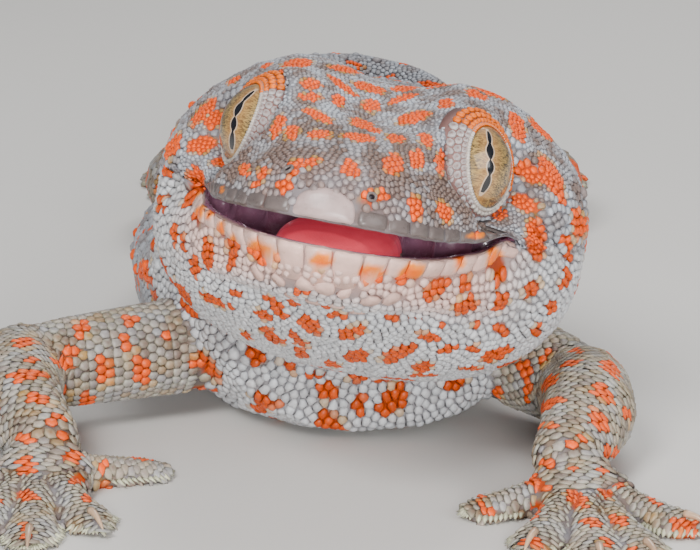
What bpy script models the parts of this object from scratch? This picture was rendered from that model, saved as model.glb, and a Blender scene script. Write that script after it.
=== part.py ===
"""A tokay gecko at life size, resting on its belly with its head raised and its mouth a little open.

Sizes are in millimetres in the tables below and become metres when a mesh is made.
The animal faces -Y, its left side is +X, and it rests on the level z = 0.
"""
import bmesh
import bpy
import numpy as np
from math import cos, pi, radians, sin
from mathutils import Vector

# Driving dimensions
MM = 0.001
GAP = 0.3
FLOOR = 0.0
UPRIGHT = np.array((0.0, 0.0, 1.0))
SIDE_COUNT = 26
HEAD_SIDES = 44
TAIL_SIDES = 16

# The head's place: the middle of the nape, then how far the head turns, rises and rolls
NAPE = (10.8, -57.0, 23.2)
HEAD_YAW = radians(7.4)
HEAD_PITCH = radians(13.7)
HEAD_ROLL = radians(9.0)

# Head sections: distance from the nape, half width, top, bottom, height of the widest place
HEAD_STATIONS = [
    (0.0, 15.5, 10.5, -13.0, -1.5),
    (2.5, 18.0, 12.3, -15.0, -1.5),
    (6.0, 20.2, 13.6, -16.6, -1.5),
    (12.0, 21.7, 14.3, -17.7, -1.8),
    (18.0, 20.9, 13.7, -17.3, -2.2),
    (24.0, 18.4, 12.2, -15.9, -2.4),
    (30.0, 15.5, 9.8, -14.1, -2.4),
    (35.0, 12.9, 7.3, -12.4, -2.4),
    (40.0, 10.1, 4.8, -10.8, -2.4),
    (44.0, 7.6, 3.0, -9.4, -2.4),
    (46.2, 5.4, 1.9, -8.3, -2.4),
    (47.4, 3.3, 0.9, -7.2, -2.4),
]
HEAD_RINGS = [
    0.0, 1.2, 2.6, 4.4, 6.6, 9.0, 11.6, 14.2, 16.8, 19.2, 21.4, 23.4, 25.2, 27.0, 28.8, 30.6, 32.6, 34.8, 37.0,
    39.2, 41.2, 43.0, 44.6, 45.8, 46.7, 47.4,
]
HEAD_BACK = -1.2
SNOUT_TIP = 48.0
SNOUT_TIP_DROP = 2.6
HEAD_SQUARE_UP = 2.25
HEAD_SQUARE_DOWN = 2.45
# The temples' tubercles: first and last ring, and the shares of a ring's way round on the two sides
TEMPLE_ROWS = (5, 10)
TEMPLE_SHARES = [(0.02, 0.17), (0.33, 0.48)]

# The mouth: place along the head, edge of the upper lip, edge of the lower lip
MOUTH_LINE = [
    (-8.0, -2.2, -2.2),
    (8.0, -2.0, -2.0),
    (16.0, -1.6, -1.6),
    (21.5, -1.3, -1.35),
    (26.0, -1.9, -3.0),
    (33.0, -2.5, -4.6),
    (40.0, -2.8, -5.5),
    (46.0, -2.8, -5.9),
    (60.0, -2.8, -5.9),
]
MOUTH_CUT_BACK = -8.0
MOUTH_CUT_FRONT = 60.0
MOUTH_CUT_REACH = 40.0
LOWER_JAW_SETBACK = 1.4
# Where the setback sets in: depth under the middle line, and distance along the head
SETBACK_DEPTH = (3.0, 7.0)
SETBACK_LENGTH = (30.0, 46.0)

# The eyes
EYE_RADIUS = 4.8
EYE_PLACE = (27.0, 9.3, 4.3)
EYE_FORWARD = radians(30)
EYE_RAISED = radians(17)
LID_RADIUS = 4.8
LID_THICKNESS = 0.8
LID_STAND = 2.3
ORBIT_REACH = 8.0
ORBIT_DEPTH = 4.0
ORBIT_SLOPE = 0.35
ORBIT_FLOOR = (-2.8, 0.4)
ORBIT_PROUD = 0.1
LID_MARGIN = 0.6
BROW_RISE = 1.0

# The body's centre line, from inside the head to the tip of the tail
BODY_PLACES = [
    (8.6, -60.0, 24.0), (7.4, -54.0, 20.5), (5.0, -46.0, 15.0), (2.6, -35.0, 11.0),
    (2.4, -20.0, 9.6), (4.5, 0.0, 9.6), (8.0, 22.0, 9.4), (10.5, 40.0, 8.8),
    (10.0, 54.0, 7.6), (5.5, 72.0, 6.4), (-0.5, 90.0, 5.4), (-0.5, 107.0, 4.5),
    (7.5, 119.0, 3.7), (17.0, 115.5, 2.9), (21.5, 103.0, 2.2), (21.0, 89.0, 1.4),
    (17.5, 77.0, 0.6),
]
# Body sections at those places: half width, rise, drop
BODY_SECTIONS = [
    (16.8, 11.4, 18.5), (18.8, 12.4, 23.0), (19.6, 12.3, 19.0), (19.6, 9.4, 12.0),
    (20.8, 8.9, 10.5), (19.8, 9.4, 10.5), (16.8, 9.6, 10.2), (12.8, 9.3, 9.5),
    (9.8, 7.8, 8.2), (8.4, 6.9, 7.0), (7.2, 6.0, 6.0), (6.0, 5.0, 5.0),
    (4.8, 4.1, 4.2), (3.6, 3.2, 3.4), (2.6, 2.3, 2.6), (1.7, 1.5, 1.7),
    (0.7, 0.6, 0.8),
]
BODY_SQUARE_UP = 2.1
BODY_SQUARE_DOWN = 2.5
BODY_RING_STEP = 0.25
TAIL_RING_STEP = 0.19
TAIL_TIP_RING_STEP = 0.28
# Where the body is divided, as places in the list above
NECK_END = 2.35
TORSO_END = 7.75
TAIL_BASE_END = 10.2
TAIL_MIDDLE_END = 12.4
LIMBS_END = 9.0

# Limbs: joint places from the root out, and the radius at each
LIMBS = {
    "left_upper_arm": [((17.5, -51.0, 7.2), 5.4), ((24.8, -59.0, 6.4), 5.0), ((30.4, -66.0, 5.4), 4.6)],
    "left_forearm": [((30.4, -66.0, 5.4), 4.9), ((30.5, -75.0, 5.5), 4.8), ((27.6, -84.6, 4.0), 3.5)],
    "right_upper_arm": [((-6.0, -54.5, 7.8), 5.4), ((-17.0, -59.5, 7.4), 5.0), ((-26.8, -63.5, 6.9), 4.6)],
    "right_forearm": [((-26.8, -63.5, 6.9), 4.9), ((-26.6, -72.0, 6.2), 4.8), ((-23.0, -79.5, 4.2), 3.5)],
    "left_thigh": [((15.0, 38.0, 8.2), 7.2), ((24.5, 30.0, 8.4), 6.4), ((31.5, 23.5, 6.8), 5.0)],
    "left_shin": [((31.5, 23.5, 6.8), 5.1), ((33.0, 33.0, 5.9), 4.7), ((29.5, 43.5, 3.8), 3.3)],
    "right_thigh": [((5.0, 38.0, 8.2), 7.2), ((-6.5, 31.0, 8.4), 6.4), ((-14.6, 25.0, 6.8), 5.0)],
    "right_shin": [((-14.6, 25.0, 6.8), 5.1), ((-15.6, 34.5, 5.9), 4.7), ((-12.0, 45.0, 3.8), 3.3)],
}
LIMB_SIDES = 12
# Limb rings: share of the length, then how far past that joint in radii
LIMB_RINGS = [
    (0.0, 0.85), (0.0, 0.45), (0.0, 0.0), (0.25, 0.0), (0.5, 0.0), (0.75, 0.0), (1.0, 0.0), (1.0, -0.45),
    (1.0, -0.85),
]

# Hands and feet: the wrist, the middle of the palm, its half width, then each digit's tip on the floor
FEET = {
    "left_hand": {
        "wrist": (27.6, -84.6, 3.9), "palm": (28.6, -88.6, 2.6), "palm_width": 5.0,
        "tips": [(17.9, -91.0), (23.3, -101.6), (29.3, -105.6), (34.0, -104.4), (38.9, -96.2)],
    },
    "right_hand": {
        "wrist": (-23.0, -79.5, 4.1), "palm": (-23.0, -83.4, 2.7), "palm_width": 5.0,
        "tips": [(-11.6, -77.8), (-16.9, -95.6), (-22.6, -100.6), (-28.8, -99.0), (-34.4, -91.2)],
    },
    "left_foot": {
        "wrist": (29.5, 43.5, 3.7), "palm": (29.8, 48.0, 2.6), "palm_width": 5.2,
        "tips": [(37.6, 47.0), (38.6, 56.0), (35.6, 62.0), (29.6, 64.6), (23.4, 59.4)],
    },
    "right_foot": {
        "wrist": (-12.0, 45.0, 3.7), "palm": (-12.6, 49.5, 2.6), "palm_width": 5.2,
        "tips": [(-20.2, 48.0), (-21.0, 57.4), (-18.4, 63.6), (-12.4, 66.2), (-6.2, 61.0)],
    },
}
# Palm rings: share of its length, share of its half width, rise
PALM_RINGS = [(0.0, 0.60, 3.1), (0.25, 0.74, 3.1), (0.5, 0.95, 3.0), (0.75, 1.0, 2.7), (0.93, 0.8, 2.2)]
PALM_START = -0.6
PALM_END = 4.6
PALM_LOWEST = 1.4
PALM_RISE = 0.95
PALM_DROP = 3.6
PALM_SQUARE = 2.2
PALM_HEEL = 0.9
PALM_FRONT = 0.7
KNUCKLE_REACH = 3.3
DIGIT_SIDES = 8
# Digit sections: share of its length, half width, height of its top
DIGIT_SECTIONS = [
    (0.0, 1.9, 3.4), (0.3, 1.65, 2.7), (0.55, 1.8, 2.1), (0.78, 2.55, 1.6),
    (0.94, 2.0, 1.2), (1.0, 1.0, 0.85),
]
DIGIT_DEPTH = 0.45
DIGIT_SQUARE = 2.3
# The two ends of a digit: how far past the knuckle or the tip, and at what height
DIGIT_ROOT = (-0.5, 1.5)
DIGIT_TIP = (0.35, 0.3)
CLAW_RADIUS = 0.5
CLAW_SIDES = 6
# Claw rings: distance past the digit's tip, height, share of the radius, then where its point is
CLAW_RINGS = [(-1.4, 0.95, 1.0), (0.9, 1.05, 0.8)]
CLAW_POINT = (2.3, 0.35)

# Tongue sections: place along the head, half width, top, bottom
TONGUE_STATIONS = [
    (21.5, 2.5, -2.9, -4.2), (25.0, 4.2, -3.2, -6.4), (30.0, 5.0, -3.5, -7.6), (35.0, 4.9, -4.2, -7.9),
    (39.0, 4.0, -4.9, -7.9), (41.4, 2.6, -5.5, -7.6), (42.4, 1.2, -6.1, -7.2),
]
TONGUE_RINGS = 9
TONGUE_SIDES = 16
TONGUE_SQUARE = 2.4
TONGUE_ROOT = 0.8
TONGUE_END = 0.7

# Tubercles: how far each stands in from its face's edge and how high it rises, as shares of its face
TUBERCLE_INSET = 0.2
TUBERCLE_RISE = 0.14
TUBERCLE_SMALLEST = 0.8
LIMB_CLEARANCE = 11.0
BACK_SHARES = (0.04, 0.46)
TAIL_SIDES_RAISED = (2, 4, 6)

# Lips, nostrils and ears, placed along, aside and above the head's middle line
LIP_RADIUS = 0.7
LIP_LIFT = 0.9
LIP_SINK = 0.45
LIP_SETBACK = 0.8
LIP_CORNER = 0.5
LIP_SIDES = 6
LIP_PLACES = [22.5, 25.0, 28.0, 31.5, 35.0, 38.5, 41.5, 44.0, 45.8, 46.9]
NOSTRIL_PLACE = (46.5, 3.6, 0.5)
NOSTRIL_LOOK = (0.75, 0.55, 0.36)
NOSTRIL_RADIUS = 0.5
NOSTRIL_RIM = 1.7
NOSTRIL_RIM_THICKNESS = 0.8
NOSTRIL_PIT = 1.2
EAR_PLACE = (8.0, 21.1, 0.5)
EAR_RADIUS = 1.6

# The floor cutter: its size, and its top is on the floor
FLOOR_SIZE = (500.0, 600.0, 50.0)

# Finishes, colour and roughness, by a word in a part's name
FINISHES = {
    "eye": ((0.45, 0.36, 0.20), 0.12),
    "tongue": ((0.75, 0.16, 0.20), 0.30),
    "head": ((0.43, 0.41, 0.42), 0.50),
    "jaw": ((0.56, 0.47, 0.45), 0.45),
    "neck": ((0.55, 0.58, 0.62), 0.50),
    "torso": ((0.38, 0.40, 0.43), 0.52),
    "tail": ((0.36, 0.38, 0.42), 0.52),
    "arm": ((0.42, 0.46, 0.52), 0.50),
    "hand": ((0.46, 0.46, 0.50), 0.50),
    "thigh": ((0.40, 0.42, 0.46), 0.50),
    "shin": ((0.41, 0.43, 0.47), 0.50),
    "foot": ((0.45, 0.45, 0.49), 0.50),
}


def unit(vector):
    """The same direction at length one."""
    vector = np.asarray(vector, float)
    return vector / np.linalg.norm(vector)


class Curve:
    """A smooth curve through rows of values, read at any place along its knots."""

    def __init__(self, knots, rows):
        self.knots = np.asarray(knots, float)
        self.rows = np.asarray(rows, float)
        self.slopes = np.gradient(self.rows, self.knots, axis=0)

    def at(self, place):
        last = len(self.knots) - 2
        index = int(np.clip(np.searchsorted(self.knots, place) - 1, 0, last))
        span = self.knots[index + 1] - self.knots[index]
        t = (place - self.knots[index]) / span
        start = self.rows[index] * (2 * t**3 - 3 * t**2 + 1) + self.slopes[index] * span * (t**3 - 2 * t**2 + t)
        end = self.rows[index + 1] * (3 * t**2 - 2 * t**3) + self.slopes[index + 1] * span * (t**3 - t**2)
        return start + end

    def heading(self, place):
        step = 0.01
        low = max(place - step, self.knots[0])
        high = min(place + step, self.knots[-1])
        return unit(self.at(high)[:3] - self.at(low)[:3])


def head_axes():
    """The head's forward, left and up directions."""
    forward = np.array((-sin(HEAD_YAW) * cos(HEAD_PITCH), -cos(HEAD_YAW) * cos(HEAD_PITCH), sin(HEAD_PITCH)))
    level_left = np.array((cos(HEAD_YAW), -sin(HEAD_YAW), 0.0))
    level_up = np.cross(forward, level_left) * -1.0
    if level_up[2] < 0:
        level_up = -level_up
    left = level_left * cos(HEAD_ROLL) - level_up * sin(HEAD_ROLL)
    up = level_up * cos(HEAD_ROLL) + level_left * sin(HEAD_ROLL)
    return forward, left, up


HEAD_FORWARD, HEAD_LEFT, HEAD_UP = head_axes()


def head_place(along, aside, above):
    """A place given along, to the left of and above the head's middle line."""
    return np.asarray(NAPE) + HEAD_FORWARD * along + HEAD_LEFT * aside + HEAD_UP * above


def oval(width, rise, drop, square_up, square_down, sides):
    """A closed section: places across it and above its middle."""
    places = []
    for index in range(sides):
        angle = 2 * pi * index / sides
        across, above = cos(angle), sin(angle)
        square = square_up if above >= 0 else square_down
        reach = rise if above >= 0 else drop
        places.append((
            width * np.sign(across) * abs(across) ** (2 / square),
            reach * np.sign(above) * abs(above) ** (2 / square),
        ))
    return places


def disc(radius, sides):
    """A round section."""
    return oval(radius, radius, radius, 2.0, 2.0, sides)


def loft(name, rings, tips=(None, None), raised=None):
    """A closed skin over a row of rings, each end closed on its middle or on a given tip.

    Where raised names a row and a side, that face rises to a low tubercle.
    """
    mesh = bmesh.new()
    rows = [[mesh.verts.new(Vector(place) * MM) for place in ring] for ring in rings]
    chosen = []
    for row, (near, far) in enumerate(zip(rows, rows[1:])):
        for index, corner in enumerate(near):
            after = (index + 1) % len(near)
            face = mesh.faces.new((corner, near[after], far[after], far[index]))
            if raised and raised(row, index, np.array(face.calc_center_median()) / MM):
                chosen.append(face)
    for row, ring, tip in ((rows[0], rings[0], tips[0]), (rows[-1], rings[-1], tips[1])):
        middle = np.mean(ring, axis=0) if tip is None else tip
        point = mesh.verts.new(Vector(middle) * MM)
        for index, corner in enumerate(row):
            mesh.faces.new((corner, row[(index + 1) % len(row)], point))
    bmesh.ops.recalc_face_normals(mesh, faces=mesh.faces)
    for face in chosen:
        width = min(edge.calc_length() for edge in face.edges)
        if width > TUBERCLE_SMALLEST * MM:
            bmesh.ops.inset_individual(mesh, faces=[face], thickness=width * TUBERCLE_INSET)
            bmesh.ops.poke(mesh, faces=[face], offset=width * TUBERCLE_RISE)
    return add_object(name, mesh)


def add_object(name, mesh):
    """A named object in the gecko's collection, smooth shaded."""
    data = bpy.data.meshes.new(name)
    mesh.to_mesh(data)
    mesh.free()
    data.shade_smooth()
    thing = bpy.data.objects.new(name, data)
    parts.objects.link(thing)
    return thing


def finish_parts():
    """Give each part its own plain Principled finish."""
    for part in parts.objects:
        colour, roughness = next(FINISHES[word] for word in FINISHES if word in part.name)
        material = bpy.data.materials.new(part.name + "_finish")
        material.use_nodes = True
        shader = material.node_tree.nodes["Principled BSDF"]
        shader.inputs["Base Color"].default_value = (*colour, 1.0)
        shader.inputs["Roughness"].default_value = roughness
        shader.inputs["Metallic"].default_value = 0.0
        part.data.materials.clear()
        part.data.materials.append(material)


def combine(target, others, operation, solvers=("EXACT", "MANIFOLD")):
    """Join or cut one object with others, then drop them."""
    helpers = bpy.data.collections.new("helpers")
    bpy.context.scene.collection.children.link(helpers)
    for other in others:
        for owner in other.users_collection:
            owner.objects.unlink(other)
        helpers.objects.link(other)
    step = target.modifiers.new("combine", "BOOLEAN")
    step.operation = operation
    step.operand_type = "COLLECTION"
    step.collection = helpers
    for solver in solvers:
        step.solver = solver
        graph = bpy.context.evaluated_depsgraph_get()
        result = bpy.data.meshes.new_from_object(target.evaluated_get(graph))
        if result.polygons:
            break
    target.modifiers.remove(step)
    target.data = result
    for other in others:
        bpy.data.objects.remove(other, do_unlink=True)
    bpy.data.collections.remove(helpers)
    keep_largest(target)


def keep_largest(target):
    """Keep only the largest closed surface of an object."""
    mesh = bmesh.new()
    mesh.from_mesh(target.data)
    left_over = set(mesh.verts)
    groups = []
    while left_over:
        front = [left_over.pop()]
        group = set(front)
        while front:
            corner = front.pop()
            for edge in corner.link_edges:
                other = edge.other_vert(corner)
                if other in left_over:
                    left_over.discard(other)
                    group.add(other)
                    front.append(other)
        groups.append(group)
    groups.sort(key=len, reverse=True)
    for group in groups[1:]:
        bmesh.ops.delete(mesh, geom=list(group), context="VERTS")
    mesh.to_mesh(target.data)
    mesh.free()


def copy_of(thing, name):
    """A separate copy of an object."""
    twin = bpy.data.objects.new(name, thing.data.copy())
    parts.objects.link(twin)
    return twin


def slab(name, outline, half_width):
    """A solid with an outline along and above the head, reaching across it."""
    mesh = bmesh.new()
    rows = []
    for aside in (-half_width, half_width):
        rows.append([mesh.verts.new(Vector(head_place(along, aside, above)) * MM) for along, above in outline])
    count = len(outline)
    for index in range(count):
        after = (index + 1) % count
        mesh.faces.new((rows[0][index], rows[0][after], rows[1][after], rows[1][index]))
    mesh.faces.new(rows[0])
    mesh.faces.new(rows[1])
    bmesh.ops.recalc_face_normals(mesh, faces=mesh.faces)
    return add_object(name, mesh)


def floor_block(name):
    """A broad solid under the floor level, which cuts the resting flats."""
    mesh = bmesh.new()
    bmesh.ops.create_cube(mesh, size=1.0)
    bmesh.ops.scale(mesh, vec=Vector(FLOOR_SIZE) * MM, verts=mesh.verts)
    bmesh.ops.translate(mesh, vec=(0.0, 0.0, (FLOOR - FLOOR_SIZE[2] / 2) * MM), verts=mesh.verts)
    return add_object(name, mesh)


def head_rings(grow=0.0):
    """The rings of the whole head with its jaw, larger by the amount to grow."""
    stations = Curve([row[0] for row in HEAD_STATIONS], [row[1:] for row in HEAD_STATIONS])
    rings = []
    for place in HEAD_RINGS:
        width, top, bottom, level = stations.at(place)
        ring = []
        section = oval(width + grow, top - level + grow, level - bottom + grow, HEAD_SQUARE_UP, HEAD_SQUARE_DOWN,
                       HEAD_SIDES)
        for aside, above in section:
            ring.append(head_place(*shape_head(place, aside, above + level)))
        rings.append(ring)
    tips = (head_place(HEAD_BACK - grow, 0.0, 0.0), head_place(SNOUT_TIP + grow, 0.0, -SNOUT_TIP_DROP))
    return rings, tips


def smooth(value, low, high):
    """A soft step from 0 at low to 1 at high."""
    share = min(max((value - low) / (high - low), 0.0), 1.0)
    return share * share * (3 - 2 * share)


def shape_head(along, aside, above):
    """Move a place on the head's plain surface to its sculpted one."""
    along -= LOWER_JAW_SETBACK * smooth(-above, *SETBACK_DEPTH) * smooth(along, *SETBACK_LENGTH)
    side = 1 if aside > 0 else -1
    eye = np.array((EYE_PLACE[0], EYE_PLACE[1] * side, EYE_PLACE[2]))
    look = eye_direction(side)
    offset = np.array((along, aside, above)) - eye
    height = offset @ look
    out = offset - look * height
    reach = np.linalg.norm(out)
    if height > -ORBIT_DEPTH and reach < ORBIT_REACH:
        brow = BROW_RISE * max(out[2] / max(reach, 1.0), 0.0)
        lid = LID_STAND + ORBIT_PROUD - ORBIT_SLOPE * max(reach - LID_RADIUS, 0.0) + brow
        share = (1 - smooth(reach, LID_RADIUS + LID_MARGIN, ORBIT_REACH)) * smooth(above, *ORBIT_FLOOR)
        height += (lid - height) * share
    along, aside, above = eye + out + look * height
    return along, aside, above


def eye_direction(side):
    """The way an eye looks, in the head's own directions."""
    level = cos(EYE_RAISED)
    return np.array((sin(EYE_FORWARD) * level, cos(EYE_FORWARD) * level * side, sin(EYE_RAISED)))


def eye_frame(side):
    """The middle of an eyeball and the direction it looks, for the left side 1 or the right side -1."""
    middle = head_place(EYE_PLACE[0], EYE_PLACE[1] * side, EYE_PLACE[2])
    ahead, aside, above = eye_direction(side)
    return middle, HEAD_FORWARD * ahead + HEAD_LEFT * aside + HEAD_UP * above


def nostril_frame(side):
    """The middle of a nostril and the way it opens."""
    middle = head_place(NOSTRIL_PLACE[0], NOSTRIL_PLACE[1] * side, NOSTRIL_PLACE[2])
    ahead, aside, above = NOSTRIL_LOOK
    return middle, unit(HEAD_FORWARD * ahead + HEAD_LEFT * aside * side + HEAD_UP * above)


def head_tubercle(row, index, place):
    """Whether a face of the head carries a tubercle: the temples, behind the eyes."""
    share = index / HEAD_SIDES
    on_temple = any(low < share < high for low, high in TEMPLE_SHARES)
    return TEMPLE_ROWS[0] <= row <= TEMPLE_ROWS[1] and on_temple and (row + index) % 2 == 0


def lip_form(name, column, lift):
    """The rolled rim of the upper lip (column 1) or the lower lip (column 2), from corner to corner."""
    stations = Curve([row[0] for row in HEAD_STATIONS], [row[1:] for row in HEAD_STATIONS])
    lips = Curve([row[0] for row in MOUTH_LINE], [row[1:] for row in MOUTH_LINE])
    side_places = []
    for along in LIP_PLACES:
        width, top, bottom, level = stations.at(along)
        above = lips.at(along)[column - 1] + lift
        reach, square = (top - level, HEAD_SQUARE_UP) if above > level else (level - bottom, HEAD_SQUARE_DOWN)
        aside = width * (1 - abs((above - level) / reach) ** square) ** (1 / square) - LIP_RADIUS * LIP_SINK
        side_places.append((along, aside, above))
    front = (SNOUT_TIP - LIP_RADIUS * LIP_SETBACK, 0.0, side_places[-1][2])
    mirrored = [(along, -aside, above) for along, aside, above in reversed(side_places)]
    places = [head_place(*shape_head(*place)) for place in side_places + [front] + mirrored]
    line = Curve(range(len(places)), places)
    rings = []
    for index in range(len(places)):
        heading = line.heading(index)
        across = unit(np.cross(heading, HEAD_UP))
        above = np.cross(across, heading)
        end = index in (0, len(places) - 1)
        section = disc(LIP_RADIUS * (LIP_CORNER if end else 1.0), LIP_SIDES)
        rings.append([places[index] + across * x + above * y for x, y in section])
    return loft(name, rings)


def ball(name, middle, radius, look, segments=18):
    """A ball with its pole along a direction."""
    mesh = bmesh.new()
    turn = Vector(look).to_track_quat("Z", "Y").to_matrix().to_4x4()
    rows = segments * 2 // 3
    bmesh.ops.create_uvsphere(mesh, u_segments=segments, v_segments=rows, radius=radius * MM, matrix=turn)
    bmesh.ops.translate(mesh, vec=Vector(middle) * MM, verts=mesh.verts)
    return add_object(name, mesh)


def hoop(name, middle, look, radius, thickness, count=22, sides=8):
    """A round rim about a direction."""
    across = unit(np.cross(look, HEAD_UP))
    above = np.cross(across, look)
    rings = []
    for index in range(count):
        angle = 2 * pi * index / count
        out = across * cos(angle) + above * sin(angle)
        ring = []
        for step in range(sides):
            turn = 2 * pi * step / sides
            ring.append(middle + out * (radius + thickness * cos(turn)) + look * thickness * sin(turn))
        rings.append(ring)
    mesh = bmesh.new()
    rows = [[mesh.verts.new(Vector(place) * MM) for place in ring] for ring in rings]
    for index, near in enumerate(rows):
        far = rows[(index + 1) % count]
        for step in range(sides):
            after = (step + 1) % sides
            mesh.faces.new((near[step], near[after], far[after], far[step]))
    bmesh.ops.recalc_face_normals(mesh, faces=mesh.faces)
    return add_object(name, mesh)


def make_head():
    """The head and the lower jaw, parted along the mouth, with lids and sockets."""
    rings, tips = head_rings()
    head = loft("head", rings, tips, head_tubercle)
    jaw = copy_of(head, "lower_jaw")
    upper = [(along, lip + GAP / 2) for along, lip, _ in MOUTH_LINE]
    lower = [(along, lip - GAP / 2) for along, _, lip in MOUTH_LINE]
    reach = MOUTH_CUT_REACH
    below = slab("below", upper + [(MOUTH_CUT_FRONT, -reach), (MOUTH_CUT_BACK, -reach)], reach)
    above = slab("above", lower + [(MOUTH_CUT_FRONT, reach), (MOUTH_CUT_BACK, reach)], reach)
    combine(head, [below], "DIFFERENCE")
    rims = [lip_form("lip", 1, LIP_RADIUS * LIP_LIFT)]
    for side in (1, -1):
        middle, look = eye_frame(side)
        rims.append(hoop("lid", middle + look * LID_STAND, look, LID_RADIUS, LID_THICKNESS))
        middle, look = nostril_frame(side)
        thickness = NOSTRIL_RADIUS * NOSTRIL_RIM_THICKNESS
        rims.append(hoop("nostril", middle, look, NOSTRIL_RADIUS * NOSTRIL_RIM, thickness, 9, 5))
    combine(head, rims, "UNION", ("MANIFOLD",))
    sockets = []
    for side, name in ((1, "eye_left"), (-1, "eye_right")):
        middle, look = eye_frame(side)
        ball(name, middle, EYE_RADIUS, look)
        sockets.append(ball("socket", middle, EYE_RADIUS + GAP, look))
        middle, look = nostril_frame(side)
        sockets.append(ball("pit", middle, NOSTRIL_RADIUS * NOSTRIL_PIT, look, 8))
        ear = head_place(EAR_PLACE[0], EAR_PLACE[1] * side, EAR_PLACE[2])
        sockets.append(ball("ear", ear, EAR_RADIUS, HEAD_UP, 10))
    combine(head, sockets, "DIFFERENCE", ("MANIFOLD",))
    combine(jaw, [above], "DIFFERENCE")
    combine(jaw, [lip_form("lip", 2, -LIP_RADIUS * LIP_LIFT)], "UNION", ("MANIFOLD",))
    make_tongue(jaw)


def make_tongue(jaw):
    """The tongue, lying in a bed cut in the lower jaw."""
    stations = Curve([row[0] for row in TONGUE_STATIONS], [row[1:] for row in TONGUE_STATIONS])
    first, last = TONGUE_STATIONS[0], TONGUE_STATIONS[-1]
    places = np.linspace(first[0], last[0], TONGUE_RINGS)
    forms = []
    for name, grow in (("tongue", 0.0), ("bed", GAP)):
        rings = []
        for place in places:
            width, top, bottom = stations.at(place)
            middle = (top + bottom) / 2
            rise = top - middle + grow
            section = oval(width + grow, rise, rise, TONGUE_SQUARE, TONGUE_SQUARE, TONGUE_SIDES)
            rings.append([head_place(place, aside, middle + above) for aside, above in section])
        root = head_place(first[0] - TONGUE_ROOT - grow, 0.0, (first[2] + first[3]) / 2)
        end = head_place(last[0] + TONGUE_END + grow, 0.0, (last[2] + last[3]) / 2)
        forms.append(loft(name, rings, (root, end)))
    combine(jaw, [forms[1]], "DIFFERENCE")


def body_curves():
    """The body's centre line and its sections, both read by place in the lists."""
    knots = range(len(BODY_PLACES))
    return Curve(knots, BODY_PLACES), Curve(knots, BODY_SECTIONS)


def body_ring(place, grow=0.0, sides=SIDE_COUNT, flat=True):
    """One ring of the body, kept above the floor."""
    line, sections = body_curves()
    heading = line.heading(place)
    across = unit(np.cross(heading, UPRIGHT))
    above = np.cross(across, heading)
    width, rise, drop = sections.at(place)
    ring = []
    for x, y in oval(width + grow, rise + grow, drop + grow, BODY_SQUARE_UP, BODY_SQUARE_DOWN, sides):
        point = line.at(place) + across * x + above * y
        if flat:
            point[2] = max(point[2], FLOOR)
        ring.append(point)
    return ring


def body_length(name, start, end, step, grow=0.0, sides=SIDE_COUNT, flat=True, raised=None):
    """A length of the body between two places, with flat ends."""
    count = max(2, round((end - start) / step) + 1)
    rings = [body_ring(place, grow, sides, flat) for place in np.linspace(start, end, count)]
    return loft(name, rings, raised=raised)


def body_form():
    """The trunk larger by the gap, which cuts what meets it."""
    return body_length("body_form", 0.0, LIMBS_END, BODY_RING_STEP, GAP, flat=False)


def back_tubercle(row, index, place):
    """Whether a face of the torso carries a tubercle: staggered rows over the back, clear of the limbs."""
    share = (index + 0.5) / SIDE_COUNT
    roots = [np.array(joints[0][0]) for name, joints in LIMBS.items() if name.endswith(("arm", "thigh"))]
    roots += [np.array(joints[1][0]) for name, joints in LIMBS.items() if name.endswith(("arm", "thigh"))]
    clear = all(np.linalg.norm(place - root) > LIMB_CLEARANCE for root in roots)
    return BACK_SHARES[0] < share < BACK_SHARES[1] and (row + index) % 2 == 0 and row > 0 and clear


def tail_tubercle(row, index, place):
    """Whether a face of the tail carries a tubercle: a few on each ring."""
    return row % 2 == 1 and index in TAIL_SIDES_RAISED


def body_step(place, distance):
    """The place a distance further along the body."""
    line, _ = body_curves()
    pace = np.linalg.norm(line.at(place + 0.01) - line.at(place - 0.01)) / 0.02
    return place + distance / pace


def make_body():
    """Neck, torso and the three lengths of the tail."""
    half = GAP / 2
    neck = body_length("neck", 0.0, body_step(NECK_END, -half), BODY_RING_STEP)
    rings, tips = head_rings(GAP)
    combine(neck, [loft("head_form", rings, tips)], "DIFFERENCE")
    start, end = body_step(NECK_END, half), body_step(TORSO_END, -half)
    body_length("torso", start, end, BODY_RING_STEP, raised=back_tubercle)
    lengths = [
        ("tail_base", TORSO_END, TAIL_BASE_END, TAIL_RING_STEP),
        ("tail_middle", TAIL_BASE_END, TAIL_MIDDLE_END, TAIL_RING_STEP),
        ("tail_tip", TAIL_MIDDLE_END, len(BODY_PLACES) - 1.0, TAIL_TIP_RING_STEP),
    ]
    for name, start, end, step in lengths:
        last = end if name == "tail_tip" else body_step(end, -half)
        body_length(name, body_step(start, half), last, step, sides=TAIL_SIDES, raised=tail_tubercle)


def limb_form(name, joints, grow=0.0, sides=LIMB_SIDES):
    """A limb length through its joints, round at both ends."""
    line = Curve([0.0, 0.5, 1.0], [(*place, radius) for place, radius in joints])
    rings = []
    for share, back in LIMB_RINGS:
        value = line.at(share)
        heading = line.heading(share)
        across = unit(np.cross(heading, UPRIGHT))
        above = np.cross(across, heading)
        full = value[3] + grow
        radius = full * (1 - back * back) ** 0.5
        middle = value[:3] - heading * full * back
        rings.append([middle + across * x + above * y for x, y in disc(radius, sides)])
    root, end = line.at(0.0), line.at(1.0)
    root_tip = root[:3] - line.heading(0.0) * (root[3] + grow)
    end_tip = end[:3] + line.heading(1.0) * (end[3] + grow)
    return loft(name, rings, (root_tip, end_tip))


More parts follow.
